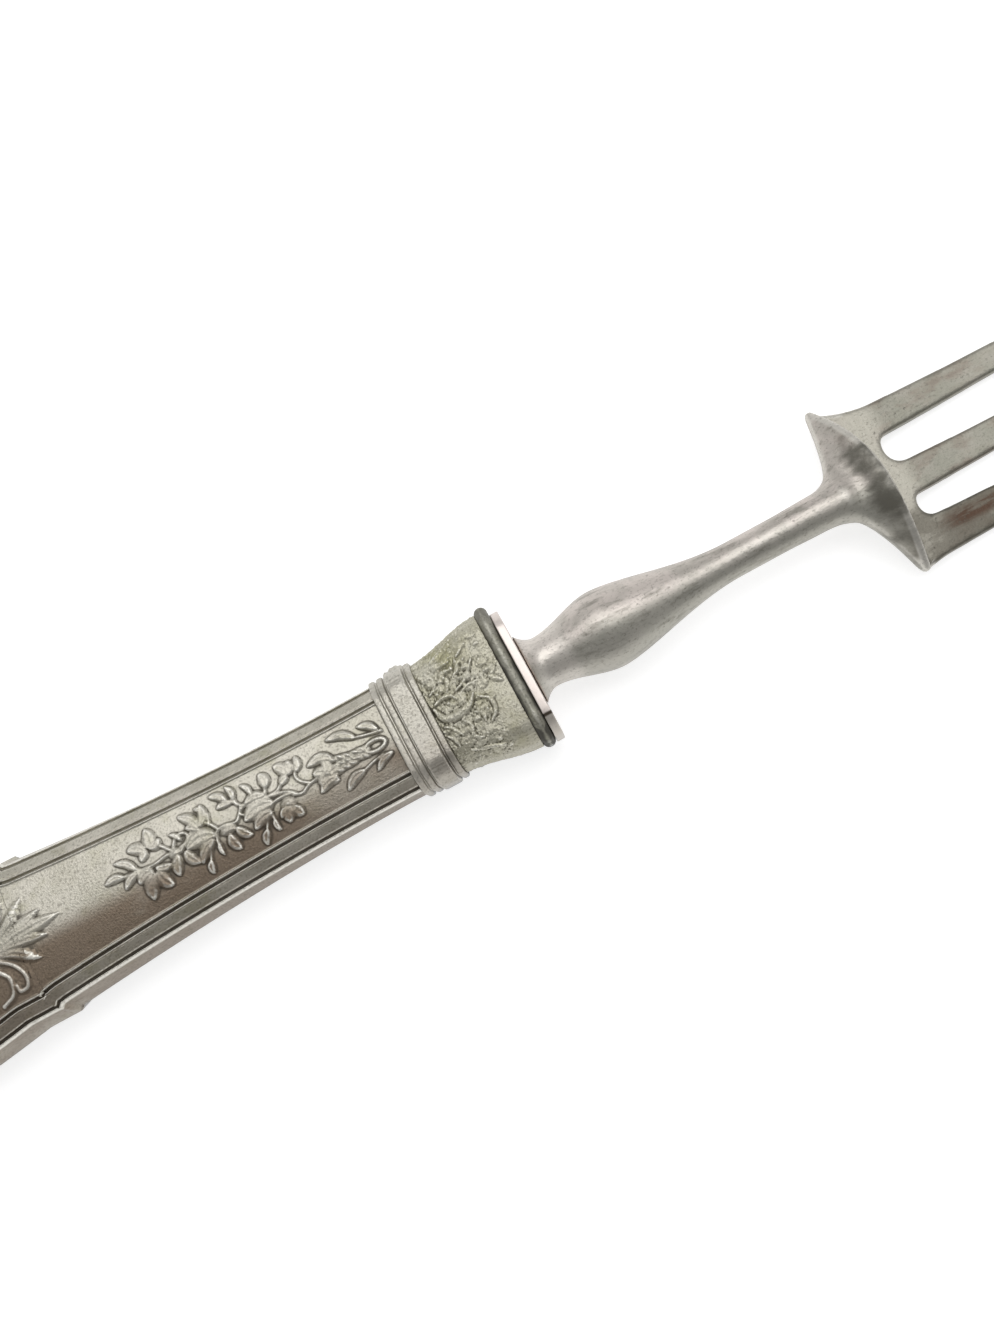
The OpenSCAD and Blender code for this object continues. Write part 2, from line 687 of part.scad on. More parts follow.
module cement_filling() {
    last = (len(core_rings) - 1) * core_count;
    color(cement_brown) polyhedron(
        points = [for (r = core_rings) each r],
        faces = concat(
            stitch(len(core_rings), core_count, false, true, true),
            [[for (j = [core_count - 1 : -1 : 0]) j]],
            [[for (j = [0 : core_count - 1]) last + j]]));
}

handle_front_shell();
handle_back_shell();
ring_band();
collar_front_shell();
collar_back_shell();
mouth_lip();
bolster_plate();
fork_iron();
tang();
cement_filling();
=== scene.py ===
import bmesh
import bpy
import numpy as np
from mathutils import Matrix, Vector


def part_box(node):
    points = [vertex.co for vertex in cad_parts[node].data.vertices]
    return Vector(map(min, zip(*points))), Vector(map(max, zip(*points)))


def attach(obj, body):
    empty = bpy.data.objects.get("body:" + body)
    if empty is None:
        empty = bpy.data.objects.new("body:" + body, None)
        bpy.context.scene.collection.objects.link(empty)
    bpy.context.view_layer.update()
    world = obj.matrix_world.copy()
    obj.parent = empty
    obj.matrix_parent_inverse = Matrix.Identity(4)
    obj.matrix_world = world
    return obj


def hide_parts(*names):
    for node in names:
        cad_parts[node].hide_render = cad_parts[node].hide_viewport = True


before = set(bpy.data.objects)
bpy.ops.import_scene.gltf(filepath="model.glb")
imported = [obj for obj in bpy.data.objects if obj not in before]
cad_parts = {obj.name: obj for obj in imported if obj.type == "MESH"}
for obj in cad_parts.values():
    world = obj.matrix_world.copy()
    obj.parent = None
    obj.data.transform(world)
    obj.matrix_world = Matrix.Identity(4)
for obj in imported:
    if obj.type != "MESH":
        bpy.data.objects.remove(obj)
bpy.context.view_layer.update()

# Tang
# The square spike behind the fork, forged and filed thinner towards its end.
# It is bedded in the handle's cement, so it keeps its black forging scale.
MM = 0.001
scale_black = (0.035, 0.034, 0.036)
scale_rust = (0.13, 0.075, 0.05)


def feed(tree, socket, value):
    """Links a shader socket to another one, or sets it."""
    if isinstance(value, bpy.types.NodeSocket):
        tree.links.new(value, socket)
    elif socket.type == "RGBA":
        socket.default_value = (*value, 1.0)
    else:
        socket.default_value = value


def add(tree, kind, settings=None, **inputs):
    """Adds a shader node, with settings by name and inputs by their socket's name."""
    node = tree.nodes.new("ShaderNode" + kind)
    for name, value in (settings or {}).items():
        setattr(node, name, value)
    for name, value in inputs.items():
        feed(tree, node.inputs[name.replace("_", " ")], value)
    return node


def maths(tree, operation, first, second=0.0):
    node = add(tree, "Math", {"operation": operation})
    feed(tree, node.inputs[0], first)
    feed(tree, node.inputs[1], second)
    return node.outputs[0]


def mottle(tree, grain, detail=4.0, stretch=(1.0, 1.0, 1.0), shift=0.0):
    """Noise in the metal, from 0 to 1. Grain is its size in millimetres; stretch draws it out."""
    place = add(tree, "TexCoord").outputs["Object"]
    scale = [1.0 / (grain * MM * s) for s in stretch]
    drawn = add(tree, "Mapping", Vector=place, Scale=scale, Location=(shift, shift, shift))
    noise = add(tree, "TexNoise", Vector=drawn.outputs["Vector"], Scale=1.0, Detail=detail, Roughness=0.6)
    return noise.outputs["Fac"]


def between(tree, value, low, high, to_low=0.0, to_high=1.0):
    """A soft step of a value from low to high."""
    step = add(tree, "MapRange", {"interpolation_type": "SMOOTHSTEP"}, Value=value)
    feed(tree, step.inputs["From Min"], low)
    feed(tree, step.inputs["From Max"], high)
    feed(tree, step.inputs["To Min"], to_low)
    feed(tree, step.inputs["To Max"], to_high)
    return step.outputs["Result"]


def tinted(tree, amount, under, over):
    """One colour laid over another by an amount."""
    node = add(tree, "Mix", {"data_type": "RGBA"})
    feed(tree, node.inputs[0], amount)
    feed(tree, node.inputs[6], under)
    feed(tree, node.inputs[7], over)
    return node.outputs[2]


def bumped(tree, shader, *layers):
    """Roughens the surface: each layer is a height from 0 to 1 and its depth in millimetres."""
    normal = None
    for height, depth in layers:
        bump = add(tree, "Bump", Height=height, Strength=1.0, Distance=depth * MM)
        if normal is not None:
            feed(tree, bump.inputs["Normal"], normal)
        normal = bump.outputs["Normal"]
    feed(tree, shader.inputs["Normal"], normal)


def new_material(name):
    material = bpy.data.materials.new(name)
    material.use_nodes = True
    return material, material.node_tree, material.node_tree.nodes["Principled BSDF"]


def dress(node_name, material):
    """Gives a CAD part that stays its finish."""
    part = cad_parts[node_name]
    if not part.material_slots:
        part.data.materials.append(material)
    for slot in part.material_slots:
        slot.material = material


def forging_scale():
    material, tree, shader = new_material("forging_scale")
    patches = mottle(tree, 2.0)
    feed(tree, shader.inputs["Base Color"], tinted(tree, between(tree, patches, 0.45, 0.65), scale_black, scale_rust))
    feed(tree, shader.inputs["Roughness"], between(tree, patches, 0.3, 0.7, 0.55, 0.8))
    feed(tree, shader.inputs["Metallic"], 0.7)
    bumped(tree, shader, (mottle(tree, 0.5), 0.06))
    return material


dress("tang", forging_scale())

# Cement filling
# The handle is filled with a brown cement of resin and brick dust, poured in hot.
# It bears the thin silver sheet from inside and grips the tang.
cement_brown = (0.17, 0.085, 0.05)
cement_dust = (0.32, 0.20, 0.13)


def resin_cement():
    material, tree, shader = new_material("resin_cement")
    dust = between(tree, mottle(tree, 0.6, 8.0), 0.45, 0.7)
    feed(tree, shader.inputs["Base Color"], tinted(tree, dust, cement_brown, cement_dust))
    feed(tree, shader.inputs["Roughness"], between(tree, mottle(tree, 1.5), 0.3, 0.7, 0.6, 0.9))
    bumped(tree, shader, (mottle(tree, 0.4, 6.0), 0.08))
    return material


dress("cement_filling", resin_cement())

# Handle halves
# Two shells of thin silver sheet, struck in a pair of dies and soldered along the side seam.
# The dies give the framed panel, the ivy garland on its cord, and the leaf and medallion at the pommel.
front_low, front_high = (np.array(corner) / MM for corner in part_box("handle_front_shell"))
mouth_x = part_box("bolster_plate")[0][0] / MM
axis_z = front_low[2]
handle_end = mouth_x - front_low[0]
handle_start = mouth_x - front_high[0]
pommel_half_w = front_high[1]
pommel_half_t = front_high[2] - axis_z
body_half_w = 8.35
body_half_t = 5.9
swell_half_w = 11.3
swell_power = 1.8
step_at = 74.4
step_out = 0.55
step_run = 5.4
flat_from = 84.4
round_from = 101.0
round_blunt = 0.82
tip_t_share = 0.55
sheet_t = 0.5
wall_lean = (0.35, 1.1)
panel_drop = 0.75
panel_crown = 0.45
frame_profile = np.array([
    (0.00, 2.70), (0.07, 2.40), (0.20, 2.18), (0.33, 2.24), (0.46, 2.52), (0.62, 2.50), (0.74, 1.90),
    (0.84, 1.78), (1.94, 0.97), (2.02, 1.04), (2.11, 0.90), (2.22, 0.82), (2.32, 0.98), (2.42, 1.36),
    (2.60, 1.36), (2.68, 0.80), (2.78, 0.56), (2.88, 0.58), (2.96, 0.72), (3.02, 0.75)])
frame_w = frame_profile[-1, 0]


def lerp(a, b, u):
    return a + (b - a) * u


def ease(u):
    u = np.clip(u, 0.0, 1.0)
    return u * u * (3.0 - 2.0 * u)


def handle_side(d):
    """Half width of the handle's outline, at a distance back from the mouth."""
    swell = np.clip((d - handle_start) / (step_at - handle_start), 0.0, 1.0) ** swell_power
    step = step_out * ease((d - step_at) / step_out)
    step_end = step_at + step_run
    belly = np.sin(np.pi / 2 * np.clip((d - step_end) / (round_from - step_end), 0.0, 1.0))
    return lerp(body_half_w, swell_half_w, swell) + step + belly * (pommel_half_w - swell_half_w - step_out)


def handle_thick(d):
    """Half thickness of the handle, level with the frame's inner edge."""
    rise = lerp(body_half_t, pommel_half_t, ease((d - handle_start) / (flat_from - handle_start)))
    round_len = handle_end - round_from
    fall = np.clip((d - round_from - round_len * tip_t_share) / (round_len * (1.0 - tip_t_share)), 0.0, 1.0)
    return rise * lerp(1.0, tip_t_share, 1.0 - np.sqrt(1.0 - fall * fall))


def handle_edge(fine, coarse, turns):
    """The left half of the outline and its inward normals, from the ring to the tip."""
    along = np.r_[np.arange(handle_start, flat_from, fine), np.arange(flat_from, round_from, coarse)]
    angle = np.linspace(0.0, np.pi / 2, turns)
    d = np.r_[along, round_from + (handle_end - round_from) * np.sin(angle) ** round_blunt]
    y = np.r_[handle_side(along), pommel_half_w * np.cos(angle).clip(0.0) ** round_blunt]
    whole_d = np.r_[2 * d[0] - d[8:0:-1], d, d[-2:-10:-1]]
    whole_y = np.r_[2 * y[0] - y[8:0:-1], y, -y[-2:-10:-1]]
    soften = np.ones(9) / 9
    lean_d = np.convolve(np.gradient(whole_y), soften, "same")[8:-8]
    lean_y = np.convolve(-np.gradient(whole_d), soften, "same")[8:-8]
    lean_d *= ease((d - handle_start) / 3.0)
    size = np.hypot(lean_d, lean_y)
    return d, y, lean_d / size, lean_y / size


def smooth_line(points, steps=6):
    """A soft line through a few points."""
    p = np.array(points, float)
    p = np.vstack([2 * p[0] - p[1], p, 2 * p[-1] - p[-2]])
    u = np.linspace(0.0, 1.0, steps, endpoint=False)[:, None]
    spans = [
        b + 0.5 * u * (c - a + u * (2 * a - 5 * b + 4 * c - e + u * (3 * (b - c) + e - a)))
        for a, b, c, e in zip(p, p[1:], p[2:], p[3:])]
    return np.vstack(spans + [p[-2:-1]])


def ridge(ground, d, y, line, half_width, rise, cut=None, square=2.0):
    """Raises a rounded ridge on the ground along a line; rise and cut are by place along and across it."""
    line = smooth_line(line) if len(line) > 2 else np.array(line, float)
    reach = np.max(half_width(np.linspace(0.0, 1.0, 20)))
    low = line.min(axis=0) - reach
    high = line.max(axis=0) + reach
    near = (d > low[0]) & (d < high[0]) & (y > low[1]) & (y < high[1])
    pd = d[near]
    py = y[near]
    lengths = np.hypot(*np.diff(line, axis=0).T)
    starts = np.r_[0.0, np.cumsum(lengths)] / lengths.sum()
    gap = np.full(pd.shape, np.inf)
    along = np.zeros(pd.shape)
    side = np.zeros(pd.shape)
    for a, b, start, end in zip(line, line[1:], starts, starts[1:]):
        v = b - a
        t = np.clip(((pd - a[0]) * v[0] + (py - a[1]) * v[1]) / (v @ v), 0.0, 1.0)
        off_d = pd - a[0] - t * v[0]
        off_y = py - a[1] - t * v[1]
        now = np.hypot(off_d, off_y)
        closer = now < gap
        gap[closer] = now[closer]
        along[closer] = (start + t * (end - start))[closer]
        side[closer] = np.sign(v[0] * off_y - v[1] * off_d)[closer]
    across = gap / half_width(along)
    height = rise * np.sqrt(np.clip(1.0 - across ** square, 0.0, 1.0))
    if cut is not None:
        height *= 1.0 - cut(along, side * np.minimum(across, 1.0))
    ground[near] = np.maximum(ground[near], height)


leaf_fullness = 1.22


def leaf(ground, d, y, base, tip, width, rise=0.5, bend=0.12, veins=3.0):
    """A pointed leaf with a midrib and side veins."""
    base = np.array(base, float)
    tip = np.array(tip, float)
    side = np.array([base[1] - tip[1], tip[0] - base[0]]) * bend

    def half_width(u):
        return leaf_fullness * width * np.sin(np.pi * np.clip(u, 0.0, 1.0) ** 0.9) ** 0.62 + 0.04

    def cut(u, v):
        midrib = 0.2 * np.exp(-(v / 0.2) ** 2)
        side_veins = 0.12 * (0.5 + 0.5 * np.cos(2 * np.pi * (veins * u - 0.9 * np.abs(v))))
        return midrib + side_veins * np.abs(v)

    ridge(ground, d, y, [base, (base + tip) / 2 + side, tip], half_width, rise, cut, 2.4)


def stem(ground, d, y, line, half_w=0.24, rise=0.34):
    """A round stem."""
    ridge(ground, d, y, line, lambda u: half_w + 0.0 * u, rise)


def cord(ground, d, y, line, half_w, rise, turns):
    """A twisted cord."""
    ridge(ground, d, y, line, lambda u: half_w + 0.0 * u, rise,
          lambda u, v: 0.3 * (0.5 + 0.5 * np.cos(2 * np.pi * (turns * u - 0.45 * v))), 2.6)


def boss(ground, d, y, place, half_d, half_y, rise, ribs=0):
    """A round or oval boss, ribbed if wanted."""
    off_d = (d - place[0]) / half_d
    off_y = (y - place[1]) / half_y
    off = np.hypot(off_d, off_y)
    near = off < 1.0
    height = rise * np.sqrt(1.0 - off[near] ** 2)
    if ribs:
        height *= 1.0 - 0.25 * (0.5 + 0.5 * np.cos(ribs * np.arctan2(off_y[near], off_d[near]))) * off[near]
    ground[near] = np.maximum(ground[near], height)


def oval(place, half_d, half_y, count=24):
    angle = np.linspace(0.0, 2 * np.pi, count + 1)
    return np.c_[place[0] + half_d * np.cos(angle), place[1] + half_y * np.sin(angle)]


# Places on the panel are a distance back from the mouth and a distance to the left of the middle
garland_stems = [
    [(59.6, 0.5), (57.4, 0.25), (55.2, 0.05), (53.3, 0.35), (52.3, 0.2)], [(58.6, 1.2), (57.3, 0.4)],
    [(54.9, 2.3), (53.6, 2.0), (52.6, 0.9), (51.8, 0.3)],
    [(52.0, 0.9), (51.3, 1.8), (50.3, 2.1), (49.6, 1.6), (50.0, 0.8), (51.1, 0.4)],
    [(51.2, -0.1), (50.3, 0.5), (49.3, 1.4), (48.4, 1.6)], [(48.0, 1.8), (47.0, 1.8), (46.3, 1.4), (45.5, 0.2)],
    [(47.0, -0.9), (47.8, -2.4), (48.2, -3.3)], [(46.4, 1.3), (46.0, 2.6), (46.3, 3.2)],
    [(46.4, -0.5), (45.5, 0.1), (44.3, 0.2), (42.9, -0.1), (42.0, 0.8), (41.4, 1.5), (40.4, 1.3)],
    [(46.0, -0.4), (46.3, -1.4), (46.1, -2.4)],
    [(41.4, 1.5), (42.3, 2.6), (43.2, 3.2)], [(41.9, 2.0), (42.0, 3.0)], [(42.4, 2.6), (43.0, 2.5)],
    [(39.4, 1.6), (39.6, 2.4)], [(38.0, 1.2), (37.6, 2.0), (37.5, 2.6)],
    [(37.4, -0.2), (38.4, -1.1), (39.3, -2.4), (39.8, -3.3)], [(38.3, -1.1), (38.1, -2.4)],
    [(38.8, -1.2), (37.7, -0.3), (36.0, -0.05), (34.6, -0.3), (33.9, -0.7)],
    [(38.2, 1.1), (37.0, 0.7), (35.8, 0.5), (34.8, 0.1), (34.2, -0.4)],
    [(34.4, -0.6), (33.2, -0.9), (32.0, -0.35), (30.4, -0.1)],
    [(32.5, 2.8), (33.2, 1.6), (32.7, 0.5), (31.7, -0.2)], [(37.4, 0.9), (36.2, 1.0), (35.2, 1.7)],
    [(23.9, 2.4), (22.0, 1.9), (20.1, 1.5)], [(24.7, -2.3), (23.0, -1.8), (21.3, -1.5)],
]
garland_leaves = [
    ((59.5, 0.45), (62.3, 0.65), 0.50), ((57.6, 0.5), (60.2, 2.7), 0.48), ((57.5, 0.2), (60.0, -1.2), 0.52),
    ((55.7, -0.5), (58.1, -1.4), 0.72), ((55.6, -0.9), (57.1, -4.2), 0.88), ((55.2, -0.9), (53.9, -3.7), 0.84),
    ((55.2, -0.5), (53.0, -1.0), 0.52),
    ((55.5, 2.2), (57.9, 3.4), 0.72), ((55.1, 2.3), (54.6, 5.0), 0.82), ((54.9, 2.2), (53.2, 2.9), 0.55),
    ((55.4, 2.1), (56.6, 1.1), 0.5),
    ((51.7, -0.4), (52.7, -3.0), 0.68), ((50.7, -0.3), (49.5, -2.7), 0.7), ((50.6, 1.2), (51.9, 2.7), 0.3),
    ((47.7, 1.5), (49.9, 4.3), 0.66), ((47.5, 1.6), (46.5, 4.4), 0.6), ((47.9, 1.3), (49.5, 2.4), 0.5),
    ((46.1, -0.3), (50.4, -0.2), 1.12), ((46.6, -0.8), (49.3, -3.0), 0.7), ((48.1, -3.1), (48.5, -4.9), 0.46),
    ((46.2, 2.9), (47.5, 4.2), 0.36), ((44.4, -1.2), (43.7, -3.7), 0.68), ((43.2, -0.8), (41.6, -2.7), 0.62),
    ((46.1, -1.4), (46.1, -3.4), 0.3),
    ((42.9, 3.1), (45.0, 4.7), 0.5), ((42.0, 2.7), (42.4, 4.9), 0.42), ((42.8, 2.5), (44.6, 2.7), 0.42),
    ((37.9, 1.3), (40.9, 1.5), 0.62), ((37.4, 2.1), (37.6, 4.3), 0.72), ((39.5, 2.2), (40.5, 4.1), 0.36),
    ((37.3, -0.1), (41.8, -0.6), 1.1), ((37.9, -1.2), (41.0, -2.3), 0.8), ((39.5, -3.0), (40.5, -4.9), 0.5),
    ((38.1, -2.2), (38.0, -4.0), 0.36),
    ((35.5, -1.8), (36.4, -3.7), 0.75), ((35.0, -1.9), (34.2, -3.5), 0.72), ((35.9, -1.6), (37.2, -2.7), 0.4),
    ((33.9, 2.2), (35.4, 4.2), 0.74), ((33.7, 2.2), (33.4, 4.1), 0.5), ((34.1, 2.1), (35.4, 1.4), 0.55),
    ((32.8, 2.0), (32.2, 4.1), 0.5),
    ((27.6, 1.5), (31.2, 1.9), 0.6), ((27.6, 0.9), (29.9, 2.7), 0.5), ((28.0, -1.2), (31.0, -2.2), 0.62),
    ((23.6, 2.3), (27.5, 3.9), 0.56), ((20.4, 1.8), (22.9, 3.5), 0.5), ((24.4, -2.2), (27.6, -3.6), 0.6),
    ((19.9, -1.8), (22.9, -3.2), 0.46),
]
garland_bosses = [
    ((52.1, 0.1), 0.95, 0.75, 0.5, 8), ((44.3, -0.55), 1.25, 0.75, 0.5, 6), ((35.6, -1.3), 1.15, 1.0, 0.42, 9),
    ((35.6, -1.3), 0.5, 0.45, 0.52, 0), ((29.1, -0.2), 0.65, 0.6, 0.56, 0),
]
knot_cords = [
    [(28.2, 1.1), (26.7, 0.95), (25.2, 0.55), (24.0, 0.55), (22.9, 0.2)],
    [(27.9, -0.7), (26.6, -0.6), (25.2, -0.55), (24.1, -0.1), (23.2, 0.45)],
    [(27.2, 0.2), (25.7, 0.1), (24.3, -0.35), (23.1, -0.55)],
]
acanthus_lobes = [
    ([(79.6, -0.4), (75.4, 0.35), (69.5, 0.5)], 0.95), ([(79.6, 0.1), (75.8, 1.1), (71.6, 2.3)], 0.75),
    ([(79.4, 0.6), (76.7, 2.3), (73.5, 4.8)], 0.7), ([(79.9, 1.0), (78.4, 3.2), (76.2, 5.4)], 0.7),
    ([(79.6, -0.5), (76.0, -0.5), (71.8, -1.3)], 0.72), ([(79.4, -0.9), (76.9, -1.7), (73.9, -3.8)], 0.8),
]
scrolls = [
    [(79.6, -1.4), (77.8, -2.9), (76.9, -4.7), (77.2, -6.2), (78.3, -6.4), (78.6, -5.5)],
    [(80.2, -2.6), (79.0, -4.2), (79.4, -6.3), (81.2, -7.2)],
    [(80.6, 2.6), (79.6, 4.4), (79.6, 6.2), (80.8, 6.9)],
    [(84.5, -5.6), (86.6, -7.6), (89.5, -8.2), (91.2, -7.1), (90.2, -6.2)],
    [(84.5, 5.6), (86.6, 7.6), (89.5, 8.2), (91.2, 7.1), (90.2, 6.2)],
    [(112.0, -4.4), (109.5, -6.8), (106.2, -7.4), (105.0, -6.3), (106.2, -5.6)],
    [(112.0, 4.4), (109.5, 6.8), (106.2, 7.4), (105.0, 6.3), (106.2, 5.6)],
]
medallion_at = (97.5, 0.0)
medallion_half = (8.6, 5.6)
shell_root = (109.6, 0.0)
shell_reach = 8.2
shell_ribs = 7


def panel_relief(d, y):
    """Height of the struck ornament over the panel."""
    ground = np.zeros(d.shape)
    for line in garland_stems:
        stem(ground, d, y, line)
    stem(ground, d, y, oval((40.8, 0.65), 1.15, 0.6), 0.17)
    for base, tip, width in garland_leaves:
        leaf(ground, d, y, base, tip, width)
    for place, half_d, half_y, rise, ribs in garland_bosses:
        boss(ground, d, y, place, half_d, half_y, rise, ribs)
    for turn in range(5):
        angle = 2 * np.pi * (turn + 0.3) / 5
        tip = (29.1 + 2.0 * np.cos(angle), -0.2 + 1.9 * np.sin(angle))
        leaf(ground, d, y, (29.1, -0.2), tip, 0.72, 0.46)
    for line in knot_cords:
        cord(ground, d, y, line, 0.46, 0.5, 5)
    stem(ground, d, y, oval((21.7, 0.05), 1.5, 0.72), 0.34, 0.46)
    for line, width in acanthus_lobes:
        ridge(ground, d, y, line, lambda u: width * (0.35 + 0.65 * np.sin(np.pi * u ** 1.3)) * (1.0 - u ** 8) + 0.05,
              0.34, lambda u, v: 0.3 * np.exp(-(v / 0.14) ** 2) + 0.16 * (0.5 + 0.5 * np.cos(9.0 * v)) * (1 - u), 2.6)
    for line in scrolls:
        stem(ground, d, y, line, 0.38, 0.3)
    stem(ground, d, y, oval(medallion_at, *medallion_half), 0.32, 0.32)
    pearls = 44
    for step in range(pearls):
        angle = 2 * np.pi * step / pearls
        place = (medallion_at[0] + (medallion_half[0] - 0.85) * np.cos(angle),
                 medallion_at[1] + (medallion_half[1] - 0.85) * np.sin(angle))
        boss(ground, d, y, place, 0.38, 0.38, 0.3)
    for rib in range(shell_ribs):
        angle = np.pi * (rib / (shell_ribs - 1) - 0.5) * 0.85
        tip = (shell_root[0] + shell_reach * np.cos(angle), shell_reach * 0.72 * np.sin(angle))
        ridge(ground, d, y, [shell_root, tip], lambda u: 0.25 + 0.75 * u, 0.3, None, 2.4)
    return ground


def softened(field, passes):
    """Each value averaged with its neighbours, a number of times."""
    for _ in range(passes):
        wide = np.pad(field, 1, mode="edge")
        field = (4 * field + wide[:-2, 1:-1] + wide[2:, 1:-1] + wide[1:-1, :-2] + wide[1:-1, 2:]) / 8
    return field


def skin(name, points, hollow, stained_and_shaded=None, rows_close=False, cap=False):
    """A piece from rows of points in millimetres, each row closed on itself, with marks for recesses and for a stain
    with painted shade.
    """
    rows, columns = points.shape[:2]
    index = np.arange(rows * columns).reshape(rows, columns)
    index = np.hstack([index, index[:, :1]])
    if rows_close:
        index = np.vstack([index, index[:1]])
    faces = np.stack([index[:-1, :-1], index[1:, :-1], index[1:, 1:], index[:-1, 1:]], -1).reshape(-1, 4)
    mesh = bpy.data.meshes.new(name)
    mesh.from_pydata((points.reshape(-1, 3) * MM).tolist(), [], faces.tolist())
    mesh.attributes.new("hollow", "FLOAT", "POINT").data.foreach_set("value", hollow.ravel().astype(np.float32))
    stained_and_shaded = 0.0 * hollow if stained_and_shaded is None else stained_and_shaded
    mesh.attributes.new("stained_and_shaded", "FLOAT", "POINT").data.foreach_set("value", stained_and_shaded.ravel().astype(np.float32))
    body = bmesh.new()
    body.from_mesh(mesh)
    bmesh.ops.remove_doubles(body, verts=body.verts, dist=0.002 * MM)
    if cap:
        bmesh.ops.holes_fill(body, edges=[edge for edge in body.edges if edge.is_boundary], sides=0)
    bmesh.ops.recalc_face_normals(body, faces=body.faces)
    body.to_mesh(mesh)
    body.free()
    mesh.shade_smooth()
    piece = bpy.data.objects.new(name, mesh)
    bpy.context.scene.collection.objects.link(piece)
    return piece


def settle(piece, node_name, material):
    """Puts a finished piece in its CAD part's place."""
    piece.data.materials.append(material)
    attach(piece, "root")
    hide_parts(node_name)


def handle_half(name, up, fine, coarse, turns):
    """One shell: its side wall, the frame's mouldings, the panel, and a plain inside."""
    d0, y0, lean_d, lean_y = handle_edge(fine, coarse, turns)
    lean = lerp(*wall_lean, np.clip((d0 - handle_start) / (step_at - handle_start), 0.0, 1.0))
    wall_rows = 7
    frame_rows = 42
    panel_rows = 41

    def inset(k):
        return d0[:, None] + lean_d[:, None] * k, y0[:, None] + lean_y[:, None] * k

    up_wall = np.linspace(0.0, 1.0, wall_rows, endpoint=False)[None, :]
    wall_d, wall_y = inset(lean[:, None] * up_wall)
    wall_z = (handle_thick(wall_d) - frame_profile[0, 1]) * up_wall
    k = np.linspace(0.0, frame_w, frame_rows)[None, :]
    frame_d, frame_y = inset(lean[:, None] + k)
    frame_z = handle_thick(frame_d) - np.interp(k, *frame_profile.T)
    q = np.linspace(0.0, 1.0, panel_rows + 1)[None, 1:]
    edge_d = frame_d[:, -1:]
    edge_y = frame_y[:, -1:]
    middle_d = np.where(edge_d <= round_from, edge_d, lerp(round_from, edge_d, tip_t_share))
    panel_d = lerp(edge_d, middle_d, q)
    panel_y = edge_y * (1.0 - q)
    panel_z = handle_thick(panel_d) - panel_drop + panel_crown * (1.0 - (1.0 - q) ** 2)
    d = np.hstack([wall_d, frame_d, panel_d])
    y = np.hstack([wall_y, frame_y, panel_y])
    z = np.hstack([wall_z, frame_z, panel_z])
    d = np.hstack([d, d[:, -2::-1]])
    y = np.hstack([-y, y[:, -2::-1]])
    z = np.hstack([z, z[:, -2::-1]])
    first = wall_rows + frame_rows
    panel = np.s_[:, first:-first]
    z[panel] += panel_relief(d[panel], y[panel])
    # Painted shade with a brown stain on the lower side: the panel's lower half, the lower frame towards the pommel,
    # and the lower side wall.
    stained_and_shaded = np.zeros(z.shape)
    stained_and_shaded[panel] = 0.95 * ease((0.6 - y[panel]) / 3.6)
    stained_and_shaded[:, :first] = 0.7 * ease((d[:, :first] - 60.0) / 20.0)
    stained_and_shaded[:, :wall_rows] = 0.8
    z = np.minimum(z, pommel_half_t)
    hollow = np.clip((softened(z, 14) - z) / 0.16, -1.0, 1.0)
    hollow[:, :wall_rows] = 0.0
    hollow[:, -wall_rows:] = 0.0
    inside_k = [sheet_t, lean + 0.56 + sheet_t, lean + frame_w, lean + frame_w + 4.0]
    inside_z = [0.0, 2.56 + sheet_t, panel_drop + sheet_t + 0.1, panel_drop + sheet_t]
    inner = []
    for side in (1, -1):
        rows = [(d0 + lean_d * k, y0 + lean_y * k, drop) for k, drop in zip(inside_k, inside_z)]
        rows = [(e, side * np.maximum(w, 0.0), (handle_thick(e) - drop) if drop else 0.0 * e) for e, w, drop in rows]
        inner += rows[::side]
    d = np.hstack([d] + [row[0][:, None] for row in inner])
    y = np.hstack([y] + [row[1][:, None] for row in inner])
    z = np.hstack([z] + [row[2][:, None] for row in inner])
    hollow = np.hstack([hollow, np.zeros((len(d0), len(inner)))])
    stained_and_shaded = np.hstack([stained_and_shaded, np.zeros((len(d0), len(inner)))])
    points = np.stack([mouth_x - d, y, axis_z + up * z], -1)
    return skin(name, points, hollow, stained_and_shaded, cap=True)


